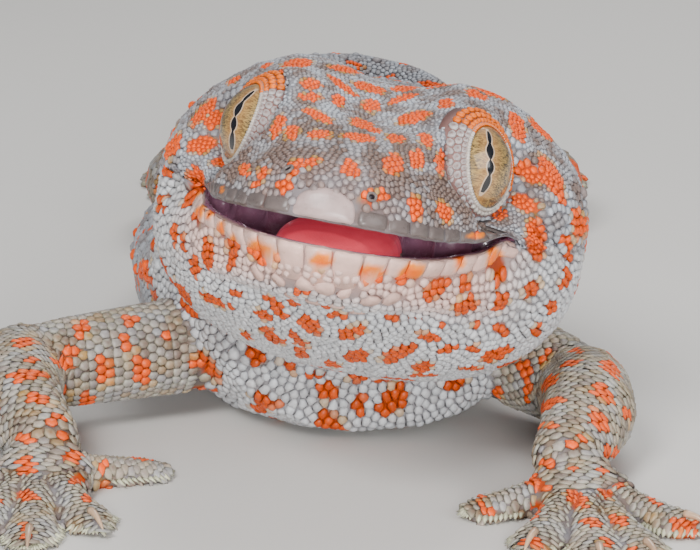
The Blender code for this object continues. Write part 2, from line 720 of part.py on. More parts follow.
def palm_form(name, foot, grow=0.0):
    """The flattened palm, from the wrist to the knuckles."""
    wrist, palm = np.array(foot["wrist"]), np.array(foot["palm"])
    forward = unit((palm - wrist) * (1, 1, 0))
    across = unit(np.cross(forward, UPRIGHT))
    width = foot["palm_width"]
    start, end = wrist + forward * PALM_START, palm + forward * PALM_END
    rings = []
    for share, wide, rise in PALM_RINGS:
        middle = start * (1 - share) + end * share
        centre = np.array((middle[0], middle[1], max(wrist[2] * (1 - share), PALM_LOWEST)))
        rise = rise * PALM_RISE + grow
        section = oval(width * wide + grow, rise, PALM_DROP + grow, PALM_SQUARE, PALM_SQUARE, LIMB_SIDES)
        rings.append([centre + across * x + UPRIGHT * y for x, y in section])
    heel = np.mean(rings[0], axis=0) - forward * (PALM_HEEL + grow)
    front = np.mean(rings[-1], axis=0) + forward * (PALM_FRONT + grow)
    return loft(name, rings, (heel, front))


def digit_form(name, knuckle, tip):
    """One digit with its broad pad, flat below."""
    forward = unit(tip - knuckle)
    across = unit(np.cross(forward, UPRIGHT))
    rings = []
    for share, width, top in DIGIT_SECTIONS:
        height = (top + DIGIT_DEPTH) / 2
        middle = knuckle * (1 - share) + tip * share + UPRIGHT * (top - height)
        section = oval(width, height, height, DIGIT_SQUARE, DIGIT_SQUARE, DIGIT_SIDES)
        rings.append([middle + across * x + UPRIGHT * y for x, y in section])
    root = knuckle + forward * DIGIT_ROOT[0] + UPRIGHT * DIGIT_ROOT[1]
    end = tip + forward * DIGIT_TIP[0] + UPRIGHT * DIGIT_TIP[1]
    return loft(name, rings, (root, end))


def claw_form(name, knuckle, tip):
    """A small curved claw out of the top of a pad."""
    forward = unit(tip - knuckle)
    across = unit(np.cross(forward, UPRIGHT))
    rings = []
    for ahead, height, share in CLAW_RINGS:
        middle = tip + forward * ahead + UPRIGHT * height
        rings.append([middle + across * x + UPRIGHT * y for x, y in disc(CLAW_RADIUS * share, CLAW_SIDES)])
    point = tip + forward * CLAW_POINT[0] + UPRIGHT * CLAW_POINT[1]
    return loft(name, rings, (None, point))


def make_foot(name):
    """A hand or foot: palm, digits and claws in one body, flat on the floor."""
    foot = FEET[name]
    body = palm_form(name, foot)
    pieces = []
    palm = np.array((*foot["palm"][:2], FLOOR))
    for number, place in enumerate(foot["tips"]):
        tip = np.array((*place, FLOOR))
        knuckle = palm + unit(tip - palm) * KNUCKLE_REACH
        pieces.append(digit_form("digit", knuckle, tip))
        if number > 0:
            pieces.append(claw_form("claw", knuckle, tip))
    combine(body, pieces, "UNION", ("MANIFOLD",))
    combine(body, [floor_block("floor")], "DIFFERENCE", ("MANIFOLD",))


def make_limbs():
    """Every limb in its lengths, each cut clear of what it meets."""
    chains = [
        ("left_upper_arm", "left_forearm", "left_hand"), ("right_upper_arm", "right_forearm", "right_hand"),
        ("left_thigh", "left_shin", "left_foot"), ("right_thigh", "right_shin", "right_foot"),
    ]
    for upper, lower, foot in chains:
        root = limb_form(upper, LIMBS[upper])
        combine(root, [body_form(), limb_form("form", LIMBS[lower], GAP)], "DIFFERENCE")
        outer = limb_form(lower, LIMBS[lower])
        combine(outer, [palm_form("form", FEET[foot], GAP)], "DIFFERENCE")
        combine(outer, [body_form(), floor_block("floor")], "DIFFERENCE")
        make_foot(foot)


for leftover in list(bpy.data.objects):
    bpy.data.objects.remove(leftover, do_unlink=True)
parts = bpy.data.collections.new("tokay_gecko")
bpy.context.scene.collection.children.link(parts)
make_head()
make_body()
make_limbs()
finish_parts()
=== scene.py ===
"""A tokay gecko at life size, resting on its belly with its head raised and its mouth a little open.

Sizes are in millimetres and become metres when a mesh is made. The animal faces -Y and its left side is +X.
"""

from math import cos, pi, radians, sin

import bmesh
import bpy
import numpy as np
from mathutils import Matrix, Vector
from mathutils.bvhtree import BVHTree
from mathutils.kdtree import KDTree


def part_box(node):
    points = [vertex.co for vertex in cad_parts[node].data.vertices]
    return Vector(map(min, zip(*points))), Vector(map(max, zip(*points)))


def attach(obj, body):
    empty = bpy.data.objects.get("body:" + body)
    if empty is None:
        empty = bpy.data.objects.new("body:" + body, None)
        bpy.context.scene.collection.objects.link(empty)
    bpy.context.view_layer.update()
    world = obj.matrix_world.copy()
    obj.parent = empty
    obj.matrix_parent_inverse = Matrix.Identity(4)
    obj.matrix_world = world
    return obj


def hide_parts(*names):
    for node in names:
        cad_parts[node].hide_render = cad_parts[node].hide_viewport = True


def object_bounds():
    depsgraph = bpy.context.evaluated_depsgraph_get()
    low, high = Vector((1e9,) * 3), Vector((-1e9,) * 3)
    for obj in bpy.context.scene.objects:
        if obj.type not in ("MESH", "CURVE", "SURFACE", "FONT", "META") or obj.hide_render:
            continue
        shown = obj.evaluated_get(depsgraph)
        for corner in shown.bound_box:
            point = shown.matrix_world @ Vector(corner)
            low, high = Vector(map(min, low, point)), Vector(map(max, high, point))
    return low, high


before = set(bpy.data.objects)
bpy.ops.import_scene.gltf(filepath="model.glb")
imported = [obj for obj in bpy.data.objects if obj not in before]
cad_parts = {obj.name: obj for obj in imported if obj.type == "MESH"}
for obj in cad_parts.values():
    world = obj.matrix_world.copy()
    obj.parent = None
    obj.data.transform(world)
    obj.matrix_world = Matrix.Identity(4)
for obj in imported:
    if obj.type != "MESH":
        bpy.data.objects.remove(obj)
cad_low, cad_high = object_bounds()

MM = 0.001
UPRIGHT = np.array((0.0, 0.0, 1.0))

# The picture's frame and the camera
PICTURE_WIDTH = 700
PICTURE_HEIGHT = 550
CAMERA_AIM = np.array((6.8, -78.0, 20.45))
CAMERA_RISE = radians(14)
CAMERA_DISTANCE = 300.0
VIEW_WIDTH = 67.96
SENSOR_WIDTH = 36.0

# The head's own directions, and landmarks along, aside and above its middle line
HEAD_YAW = radians(7.4)
HEAD_PITCH = radians(13.7)
EYE_ALONG = 27.0
EYE_ABOVE = 4.3
EYE_FORWARD = radians(30)
EYE_RAISED = radians(17)
EYE_RADIUS = 4.8
CORNER_ALONG = 21.5
JAW_SETBACK = 1.2
SNOUT_END = 48.0
# The mouth: place along the head, edge of the upper lip, edge of the lower lip
MOUTH_LINE = [
    (-8.0, -2.2, -2.2), (8.0, -2.0, -2.0), (16.0, -1.6, -1.6), (21.5, -1.3, -1.35), (26.0, -1.9, -3.0),
    (33.0, -2.5, -4.6), (40.0, -2.8, -5.5), (46.0, -2.8, -5.9), (60.0, -2.8, -5.9),
]

# Half the head's width at places along it
HEAD_WIDTHS = [
    (0.0, 15.5), (2.5, 18.0), (6.0, 20.2), (12.0, 21.7), (18.0, 20.9), (24.0, 18.4), (30.0, 15.5),
    (35.0, 12.9), (40.0, 10.1), (44.0, 7.6), (46.2, 5.4), (47.4, 3.3), (48.0, 1.5),
]
# How far the crown dips below its solid across the picture
CROWN_DIP = [
    (249, 0.3), (299, 0.4), (339, 1.2), (374, 2.4), (402, 2.7), (430, 2.4), (461, 1.2), (510, 0.6),
    (546, 0.6), (573, 0.7),
]
# How far the lips are drawn together
UPPER_SHIFT = -0.5
LOWER_SHIFT = 1.25
# Swellings and hollows: place along, aside and above, radius, height
HEAD_FORMS = [
    (27.5, 6.2, 9.6, 3.0, 0.8), (22.0, 8.4, 10.4, 3.2, 0.6), (33.0, 6.4, 6.8, 2.2, 0.4),
    (30.0, 0.0, 11.0, 4.0, -0.6), (36.0, 0.0, 7.4, 3.0, -0.4), (38.0, 7.8, 1.5, 2.6, -0.9),
    (32.5, 11.5, -0.3, 2.0, -0.5), (45.0, 3.6, 1.6, 1.6, 0.5), (41.0, 0.0, 4.6, 2.4, 0.3),
    (19.5, 15.5, 5.5, 3.2, -0.7), (15.0, 9.0, 13.5, 5.0, 0.4),
]
# Creases seen in the picture: chain of places, half width in pixels, depth
CREASES = [
    ([(523, 227), (545, 225), (556, 237), (574, 261)], 4.5, 0.9),
    ([(191, 162), (169, 181), (160, 190)], 4.0, 0.7),
    ([(520, 232), (512, 262), (500, 290)], 6.0, 0.35),
    ([(200, 192), (205, 230), (222, 262)], 6.0, 0.3),
    ([(216, 335), (262, 352), (330, 345)], 5.0, 0.3),
    ([(380, 345), (450, 340), (520, 318)], 5.0, 0.3),
    ([(452, 120), (447, 150), (458, 195)], 4.0, 0.35),
    ([(196, 270), (240, 294), (300, 314), (360, 323), (430, 320), (500, 318), (538, 300)], 6.0, 0.5),
]
# The lower edge of the throat over the collar, in the picture
THROAT_EDGE = [
    (190, 345), (220, 366), (262, 374), (307, 378), (380, 384), (440, 380), (480, 374), (516, 366),
    (545, 340),
]
POUCH_WAY = np.array((0.0, -0.82, -0.57))
POUCH_REACH = 0.5
FRONT_END = -50.0

# The body's middle line, from inside the head to the tip of the tail
BODY_LINE = [
    (8.6, -60.0, 24.0), (7.4, -54.0, 20.5), (5.0, -46.0, 15.0), (2.6, -35.0, 11.0), (2.4, -20.0, 9.6),
    (4.5, 0.0, 9.6), (8.0, 22.0, 9.4), (10.5, 40.0, 8.8), (10.0, 54.0, 7.6), (5.5, 72.0, 6.4),
    (-0.5, 90.0, 5.4), (-0.5, 107.0, 4.5), (7.5, 119.0, 3.7), (17.0, 115.5, 2.9), (21.5, 103.0, 2.2),
    (21.0, 89.0, 1.4), (17.5, 77.0, 0.6),
]
# Limbs from the root to the wrist, then each hand's palm and the tips of its digits on the floor
LIMB_LINES = {
    "left_arm": [
        (17.5, -51.0, 7.2), (24.8, -59.0, 6.4), (30.4, -66.0, 5.4), (30.5, -75.0, 5.5), (27.6, -84.6, 4.0),
    ],
    "right_arm": [
        (-6.0, -54.5, 7.8), (-17.0, -59.5, 7.4), (-26.8, -63.5, 6.9), (-26.6, -72.0, 6.2),
        (-23.0, -79.5, 4.2),
    ],
    "left_leg": [
        (15.0, 38.0, 8.2), (24.5, 30.0, 8.4), (31.5, 23.5, 6.8), (33.0, 33.0, 5.9), (29.5, 43.5, 3.8),
    ],
    "right_leg": [
        (5.0, 38.0, 8.2), (-6.5, 31.0, 8.4), (-14.6, 25.0, 6.8), (-15.6, 34.5, 5.9), (-12.0, 45.0, 3.8),
    ],
}
LIMB_NODES = {
    "left_arm": ("left_upper_arm", "left_forearm", "left_hand"),
    "right_arm": ("right_upper_arm", "right_forearm", "right_hand"),
    "left_leg": ("left_thigh", "left_shin", "left_foot"),
    "right_leg": ("right_thigh", "right_shin", "right_foot"),
}
PALMS = {
    "left_arm": (28.6, -88.6), "right_arm": (-23.0, -83.4),
    "left_leg": (29.8, 48.0), "right_leg": (-12.6, 49.5),
}
DIGIT_TIPS = {
    "left_arm": [(17.9, -91.0), (23.3, -101.6), (29.3, -105.6), (34.0, -104.4), (38.9, -96.2)],
    "right_arm": [(-11.6, -77.8), (-16.9, -95.6), (-22.6, -100.6), (-28.8, -99.0), (-34.4, -91.2)],
    "left_leg": [(37.6, 47.0), (38.6, 56.0), (35.6, 62.0), (29.6, 64.6), (23.4, 59.4)],
    "right_leg": [(-20.2, 48.0), (-21.0, 57.4), (-18.4, 63.6), (-12.4, 66.2), (-6.2, 61.0)],
}
KNUCKLE_REACH = 3.3
# How far a digit's pad runs on past its tip
PAD_END = 1.9

# The skin
MERGE_WIDTH = 0.001
SWELL = 0.2
VOXEL = 0.5
SCALE_DEPTH = 0.32
SMOOTH_ROUNDS = 6
SMOOTH_STEPS = (0.55, -0.57)
FLOOR_GAP = 0.02
DIGIT_KEEP = 1.4
# The socket under each eye: its depth, its rise under the lid, and where the push slopes off and ends
SOCKET_DEPTH = 0.7
SOCKET_LIFT = 0.4
SOCKET_RIM = 5.0
SOCKET_SLOPE = 3.0
SOCKET_REACH = 8.0

# Colours, linear
PALE = np.array((0.37, 0.39, 0.425))
WHITE = np.array((0.66, 0.655, 0.645))
BROWN = np.array((0.15, 0.100, 0.082))
ORANGE = np.array((0.76, 0.082, 0.000))
RUST = np.array((0.38, 0.048, 0.002))
OLIVE = np.array((0.46, 0.23, 0.006))
PINK = np.array((0.62, 0.40, 0.34))
LABIAL = np.array((0.115, 0.092, 0.086))
ROSTRAL = np.array((0.37, 0.27, 0.255))
# Near-black plum: painted shade deep in the mouth's roof.
PLUM = np.array((0.030, 0.008, 0.025))
LILAC = np.array((0.46, 0.20, 0.32))
GUM = np.array((0.62, 0.07, 0.09))
RIM_SHADE = np.array((0.52, 0.50, 0.51))
EDGE_OLIVE = np.array((0.50, 0.50, 0.38))


def unit(vectors):
    """The same directions at length one."""
    vectors = np.asarray(vectors, float)
    return vectors / np.maximum(np.linalg.norm(vectors, axis=-1, keepdims=True), 1e-9)


def smooth(values, low, high):
    """A soft step from 0 at low to 1 at high."""
    share = np.clip((np.asarray(values, float) - low) / (high - low), 0.0, 1.0)
    return share * share * (3 - 2 * share)


def mix(first, second, share):
    """A share of the second laid over the first."""
    return first * (1 - share) + second * share


def square_to(way, axis):
    """The part of a direction that is square to an axis, at length one."""
    return unit(way - axis * (way @ axis))


def along_skin(ways, normals):
    """Directions laid flat on the skin."""
    return unit(ways - normals * (ways * normals).sum(-1, keepdims=True))


def from_table(table, where, column=1):
    """A column of a table, read between its rows by its first column."""
    table = np.asarray(table)
    return np.interp(where, table[:, 0], table[:, column])


def node_middle(name):
    """The middle of a CAD node."""
    low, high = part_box(name)
    return (np.array(low) + np.array(high)) / 2 / MM


EYES = {1: node_middle("eye_left"), -1: node_middle("eye_right")}
HEAD_LEFT = unit(EYES[1] - EYES[-1])
heading = np.array((-sin(HEAD_YAW) * cos(HEAD_PITCH), -cos(HEAD_YAW) * cos(HEAD_PITCH), sin(HEAD_PITCH)))
HEAD_FORWARD = square_to(heading, HEAD_LEFT)
HEAD_UP = np.cross(HEAD_FORWARD, HEAD_LEFT)
HEAD_AXES = np.array((HEAD_FORWARD, HEAD_LEFT, HEAD_UP))
NAPE = (EYES[1] + EYES[-1]) / 2 - HEAD_FORWARD * EYE_ALONG - HEAD_UP * EYE_ABOVE


def on_head(places):
    """World places as along, aside and above the head's middle line."""
    return (np.asarray(places) - NAPE) @ HEAD_AXES.T


def head_place(along, aside, above):
    """A world place from along, aside and above the head's middle line."""
    return NAPE + np.array((along, aside, above)) @ HEAD_AXES


def eye_look(side):
    """The direction an eye looks."""
    level = cos(EYE_RAISED)
    return np.array((sin(EYE_FORWARD) * level, cos(EYE_FORWARD) * level * side, sin(EYE_RAISED))) @ HEAD_AXES


# The eye's opening about its look, in degrees: half its width, half its height, its middle's drop
OPENING_WIDE = 48.0
OPENING_TALL = 53.5
OPENING_DROP = 7.5
# The lid: the radius of its arc, its width, and how it rises from its thin edge
LID_REACH = 5.5
LID_WIDTH = 2.6
LID_EDGE = 0.14
LID_RISE = 0.72
LID_RISE_WIDTH = 2.2


def opening_outline():
    """The turns about the look and the angles from it of the opening's edge."""
    steps = np.linspace(0, 2 * pi, 181)[:-1]
    wide, tall = OPENING_WIDE * np.cos(steps), OPENING_TALL * np.sin(steps) - OPENING_DROP
    turns = np.arctan2(tall, wide) % (2 * pi)
    order = np.argsort(turns)
    return turns[order], np.radians(np.hypot(wide, tall))[order]


OPENING_TURNS, OPENING_ANGLES = opening_outline()


def lid_axes(side):
    """An eye's look, with the ways to its front corner and its top."""
    look = eye_look(side)
    front = square_to(HEAD_FORWARD, look)
    top = np.cross(look, front)
    return look, front, top * np.sign(top @ HEAD_UP)


def lid_gap(side, places):
    """The distance outwards from the opening's edge, along the lid, and the turn about the look."""
    look, front, top = lid_axes(side)
    way = unit(places - EYES[side])
    turn = np.arctan2(way @ top, way @ front) % (2 * pi)
    edge = np.interp(turn, OPENING_TURNS, OPENING_ANGLES, period=2 * pi)
    return (np.arccos(np.clip(way @ look, -1, 1)) - edge) * LID_REACH, turn


def lid_height(gap):
    """The lid's distance from the eyeball's middle, by its distance from the edge."""
    return EYE_RADIUS + LID_EDGE + LID_RISE * smooth(gap, 0.0, LID_RISE_WIDTH)


def lid_place(side, turn, gap):
    """A place on a lid's outer face, and the way out from the eyeball's middle."""
    look, front, top = lid_axes(side)
    opening = np.interp(turn, OPENING_TURNS, OPENING_ANGLES, period=2 * pi) + gap / LID_REACH
    way = look * cos(opening) + (front * cos(turn) + top * sin(turn)) * sin(opening)
    return EYES[side] + way * lid_height(gap), way


# The camera's own directions
BACK = np.array((0.0, -cos(CAMERA_RISE), sin(CAMERA_RISE)))
RIGHT = np.array((1.0, 0.0, 0.0))
TOP = np.cross(BACK, RIGHT)
CAMERA_PLACE = CAMERA_AIM + BACK * CAMERA_DISTANCE


def picture_ray(x, y):
    """The direction from the camera through a place in the picture."""
    pixel = VIEW_WIDTH / PICTURE_WIDTH
    across = (x - PICTURE_WIDTH / 2) * pixel
    down = (y - PICTURE_HEIGHT / 2) * pixel
    return unit(RIGHT * across - TOP * down - BACK * CAMERA_DISTANCE)


def picture_place(places):
    """Where world places fall in the picture."""
    offset = np.asarray(places) - CAMERA_PLACE
    shrink = PICTURE_WIDTH / VIEW_WIDTH * CAMERA_DISTANCE / -(offset @ BACK)
    across = PICTURE_WIDTH / 2 + offset @ RIGHT * shrink
    down = PICTURE_HEIGHT / 2 - offset @ TOP * shrink
    return np.stack((across, down), -1)


# How many places are read against a line at once
READ_AT_ONCE = 20000


class Path:
    """A smooth line, against which places are read."""

    def __init__(self, places, count=240):
        places = np.asarray(places, float)
        slopes = np.gradient(places, axis=0)
        reads = np.linspace(0, len(places) - 1, count)
        index = np.minimum(reads.astype(int), len(places) - 2)
        t = (reads - index)[:, None]
        self.places = (
            places[index] * (2 * t**3 - 3 * t**2 + 1) + slopes[index] * (t**3 - 2 * t**2 + t)
            + places[index + 1] * (3 * t**2 - 2 * t**3) + slopes[index + 1] * (t**3 - t**2)
        )
        self.headings = unit(np.gradient(self.places, axis=0))
        steps = np.linalg.norm(np.diff(self.places, axis=0), axis=1)
        self.lengths = np.concatenate(([0.0], np.cumsum(steps)))
        self.length = self.lengths[-1]

    def read(self, places):
        """How far along, the angle round (0 at the right, a quarter turn at the top), and the heading."""
        nearest = np.empty(len(places), int)
        for start in range(0, len(places), READ_AT_ONCE):
            part = places[start:start + READ_AT_ONCE]
            gaps = ((part[:, None] - self.places[None]) ** 2).sum(-1)
            nearest[start:start + READ_AT_ONCE] = gaps.argmin(1)
        heading = self.headings[nearest]
        offset = places - self.places[nearest]
        across = unit(np.cross(heading, UPRIGHT))
        above = np.cross(across, heading)
        angle = np.arctan2((offset * above).sum(-1), (offset * across).sum(-1))
        return self.lengths[nearest] + (offset * heading).sum(-1), angle, heading

    def at(self, along):
        """The place and heading a distance along."""
        place = np.array([np.interp(along, self.lengths, self.places[:, axis]) for axis in range(3)])
        heading = np.array([np.interp(along, self.lengths, self.headings[:, axis]) for axis in range(3)])
        return place, unit(heading)


class Digit:
    """A digit on the floor, from where it leaves the palm to its tip."""

    def __init__(self, limb, number):
        palm = np.array((*PALMS[limb], 0.0))
        self.limb = limb
        self.number = number
        self.tip = np.array((*DIGIT_TIPS[limb][number], 0.0))
        self.root = palm + unit(self.tip - palm) * KNUCKLE_REACH
        self.ahead = unit(self.tip - self.root)
        self.aside = np.cross(UPRIGHT, self.ahead)
        self.length = np.linalg.norm(self.tip - self.root) + PAD_END


BODY = Path(BODY_LINE)
LIMBS = {limb: Path(places) for limb, places in LIMB_LINES.items()}
DIGITS = [Digit(limb, number) for limb in LIMBS for number in range(5)]
random = np.random.default_rng(11)


def waves(places, size, seed, count=10):
    """A smooth random field between about -1 and 1 with features of a given size."""
    draw = np.random.default_rng(seed)
    turns = unit(draw.normal(size=(count, 3))) * (2 * pi / size) * draw.uniform(0.6, 1.5, (count, 1))
    phases = draw.uniform(0, 2 * pi, count)
    return np.sin(places @ turns.T + phases).sum(-1) / (count ** 0.5) * 0.8


# Small moves across the picture that bring the lips to it: from, to, reach in pixels
LIP_MOVES = [
    ((184, 189), (202, 188), 20), ((508, 246), (508, 239), 18), ((502, 264), (502, 253), 18),
    ((470, 263), (470, 258), 20),
]


def fit(places):
    """Places of the head moved a little across the picture."""
    flat = picture_place(places)
    move = np.zeros((len(places), 2))
    for start, end, reach in LIP_MOVES:
        share = np.exp(-((flat - start) ** 2).sum(-1) / reach ** 2)
        move += share[:, None] * (np.array(end) - start)
    pixel = -((places - CAMERA_PLACE) @ BACK) / CAMERA_DISTANCE * VIEW_WIDTH / PICTURE_WIDTH
    move *= (pixel * smooth(-places[:, 1], 58.0, 66.0))[:, None]
    return places + RIGHT * move[:, :1] - TOP * move[:, 1:]


def new_mesh(name, places, faces, colours=None, marks=None):
    """A mesh object from places in millimetres and groups of equal-sided faces."""
    data = bpy.data.meshes.new(name)
    data.vertices.add(len(places))
    set_places(data, fit(np.asarray(places)))
    corners = np.concatenate([np.asarray(group).ravel() for group in faces])
    sides = np.concatenate([np.full(len(group), group.shape[1]) for group in faces])
    data.loops.add(len(corners))
    data.loops.foreach_set("vertex_index", corners.astype(np.int32))
    data.polygons.add(len(sides))
    data.polygons.foreach_set("loop_start", np.concatenate(([0], np.cumsum(sides)[:-1])).astype(np.int32))
    data.update(calc_edges=True)
    data.validate()
    data.shade_smooth()
    if colours is not None:
        paint(data, colours)
    if marks is not None:
        add_chart(data, "OFBake", marks)
    return stand(name, data)


def stand(name, data):
    """An object of a mesh, a lamp or a camera, put in the scene."""
    thing = bpy.data.objects.new(name, data)
    bpy.context.scene.collection.objects.link(thing)
    return thing


def set_places(data, places):
    """Put a mesh's vertices at places in millimetres."""
    data.vertices.foreach_set("co", (places * MM).astype(np.float32).ravel())


def add_chart(data, name, marks):
    """Store a flat place for each vertex as a UV map."""
    chart = data.uv_layers.new(name=name)
    read = np.empty(len(data.loops), np.int32)
    data.loops.foreach_get("vertex_index", read)
    chart.data.foreach_set("uv", marks[read].astype(np.float32).ravel())


def paint(data, colours):
    """Store a colour for each vertex as the attribute marking."""
    layer = data.color_attributes.new("marking", "FLOAT_COLOR", "POINT")
    full = np.ones((len(colours), 4), np.float32)
    full[:, :3] = colours
    layer.data.foreach_set("color", full.ravel())


def places_of(data):
    """A mesh's vertex places in millimetres."""
    places = np.empty(len(data.vertices) * 3, np.float32)
    data.vertices.foreach_get("co", places)
    return places.reshape(-1, 3).astype(float) / MM


def evaluated(thing):
    """The plain mesh of an object with its modifiers applied."""
    graph = bpy.context.evaluated_depsgraph_get()
    return bpy.data.meshes.new_from_object(thing.evaluated_get(graph))


def within_box(places, inset=0.0):
    """Places kept inside the solids' box."""
    return np.clip(places, np.array(cad_low) / MM + inset, np.array(cad_high) / MM - inset)


def ring_walls(around, sides):
    """The faces of a ring made of closed loops of corners."""
    base = np.arange(around)[:, None] * sides
    after = (np.arange(around)[:, None] + 1) % around * sides
    step = np.arange(sides)
    ahead = (step + 1) % sides
    return np.stack((base + step, after + step, after + ahead, base + ahead), -1).reshape(-1, 4)


# The skin

FLESH = [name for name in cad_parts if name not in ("eye_left", "eye_right", "tongue")]


def node_lookup():
    """A search tree over the flesh nodes' faces, and each face's node."""
    places, faces, owners = [], [], []
    for number, name in enumerate(FLESH):
        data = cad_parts[name].data
        start = sum(len(part) for part in places)
        places.append(places_of(data))
        for face in data.polygons:
            faces.append([start + corner for corner in face.vertices])
            owners.append(number)
    return BVHTree.FromPolygons(np.concatenate(places).tolist(), faces), np.array(owners)


def even_mesh(name, nodes, swell, voxel):
    """CAD nodes joined in one closed mesh of even faces, with its places and its edges."""
    mesh = bmesh.new()
    for node in nodes:
        mesh.from_mesh(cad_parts[node].data)
    bmesh.ops.remove_doubles(mesh, verts=mesh.verts, dist=MERGE_WIDTH * MM)
    mesh.normal_update()
    for corner in mesh.verts:
        corner.co += corner.normal * swell * MM
    data = bpy.data.meshes.new(name)
    mesh.to_mesh(data)
    mesh.free()
    flesh = stand(name, data)
    remesh = flesh.modifiers.new("even", "REMESH")
    remesh.mode = "VOXEL"
    remesh.voxel_size = voxel * MM
    made = evaluated(flesh)
    bpy.data.objects.remove(flesh)
    edges = np.empty(len(made.edges) * 2, np.int32)
    made.edges.foreach_get("vertices", edges)
    return made, places_of(made), edges.reshape(-1, 2)


def smooth_places(places, edges, rounds):
    """Even out bumps without shrinking."""
    count = np.bincount(edges.ravel(), minlength=len(places))[:, None]
    for _ in range(rounds):
        for factor in SMOOTH_STEPS:
            total = np.zeros_like(places)
            for axis in range(3):
                total[:, axis] = (
                    np.bincount(edges[:, 0], places[edges[:, 1], axis], len(places))
                    + np.bincount(edges[:, 1], places[edges[:, 0], axis], len(places))
                )
            places = places + (total / np.maximum(count, 1) - places) * factor
    return places


def vertex_normals(data, places):
    """Smooth normals of a mesh for new vertex places."""
    set_places(data, places)
    data.update()
    normals = np.empty(len(data.vertices) * 3, np.float32)
    data.vertex_normals.foreach_get("vector", normals)
    return normals.reshape(-1, 3).astype(float)


def lip_levels(along):
    """The heights of the upper and the lower lip's edge at places along the head."""
    return from_table(MOUTH_LINE, along), from_table(MOUTH_LINE, along, 2)


def lip_shifts(along):
    """How far the skin's lips are drawn together at places along the head."""
    share = smooth(along, CORNER_ALONG - 1.0, CORNER_ALONG + 3.5)
    return UPPER_SHIFT * share, LOWER_SHIFT * share


def edge_inset(local):
    """How far places lie inside the head's outline seen from above, with the lower jaw's front set back."""
    along, aside, above = local.T
    front = np.array(HEAD_WIDTHS[3:])[::-1]
    ahead = np.interp(np.abs(aside), front[:, 1], front[:, 0]) - along
    inset = np.minimum(from_table(HEAD_WIDTHS, along) - np.abs(aside), ahead)
    return inset - JAW_SETBACK * smooth(along, 30.0, 44.0) * smooth(-above, 3.6, 5.0)


def in_mouth(local, normals):
    """How far places are inside the mouth, from 0 to 1."""
    along, _, above = local.T
    upper, lower = lip_levels(along)
    middle = (upper + lower) / 2
    level = normals @ HEAD_UP
    inset = edge_inset(local)
    roof = smooth(-level, 0.25, 0.6) * (above > middle - 0.2) * (above < upper + 2.6)
    floor = smooth(level, 0.25, 0.6) * (above < middle + 0.2) * (above > lower - 3.4)
    cleft = (above < upper - 0.15) * (above > lower + 0.15) * 1.0
    inside = np.maximum(np.maximum(roof, floor), cleft) * smooth(inset, 0.5, 1.1)
    return inside * (along > CORNER_ALONG - 3.0) * (along < SNOUT_END)


def gap_to_line(flat, line):
    """The distance of flat places from a chain of straight runs."""
    line = np.asarray(line, float)
    best = np.full(len(flat), 1e9)
    for start, end in zip(line[:-1], line[1:]):
        run = end - start
        share = np.clip((flat - start) @ run / (run @ run), 0.0, 1.0)
        best = np.minimum(best, np.linalg.norm(flat - start - share[:, None] * run, axis=1))
    return best


def near_digits(places):
    """Where places belong to a digit, from 0 to 1."""
    share = np.zeros(len(places))
    low = 1 - smooth(places[:, 2], 2.8, 4.0)
    for digit in DIGITS:
        gap = gap_to_line(places[:, :2], (digit.root[:2], digit.tip[:2]))
        share = np.maximum(share, (1 - smooth(gap, 2.6, 3.6)) * low)
    return share


def build_skin():
    """One skin over all the flesh nodes, inside them by the scales' depth."""
    skin_data, places, edges = even_mesh("flesh", FLESH, SWELL, VOXEL)
    places = smooth_places(places, edges, SMOOTH_ROUNDS)
    normals = vertex_normals(skin_data, places)
    inside = in_mouth(on_head(places), normals)
    places = sculpt(places, normals, inside)
    normals = vertex_normals(skin_data, places)
    places = places - normals * (SWELL + SCALE_DEPTH * (1 - DIGIT_KEEP * near_digits(places)))[:, None]
    places = smooth_places(places, edges, 1)
    press_sockets(places)
    places[:, 2] = np.maximum(places[:, 2], FLOOR_GAP)
    normals = vertex_normals(skin_data, places)
    skin_data.name = "skin"
    skin_data.shade_smooth()
    return stand("skin", skin_data), places, normals, inside


def press_sockets(places):
    """Push the skin back along each eye's look, clear of the eyeball and of the lid's shell."""
    for side, middle in EYES.items():
        gap, _ = lid_gap(side, places)
        lid = lid_height(gap) - EYE_RADIUS + SOCKET_LIFT
        dome = EYE_RADIUS - SOCKET_DEPTH + lid * smooth(gap, -0.3, 1.0)
        look = lid_axes(side)[0]
        offset = places - middle
        rise = offset @ look
        aside = np.linalg.norm(offset - rise[:, None] * look, axis=1)
        limit = np.sqrt(np.maximum(dome ** 2 - aside ** 2, 0))
        limit += SOCKET_SLOPE * np.maximum(aside - SOCKET_RIM, 0)
        over = np.flatnonzero((rise > limit) & (aside < SOCKET_REACH))
        places[over] -= look * (rise[over] - limit[over])[:, None]


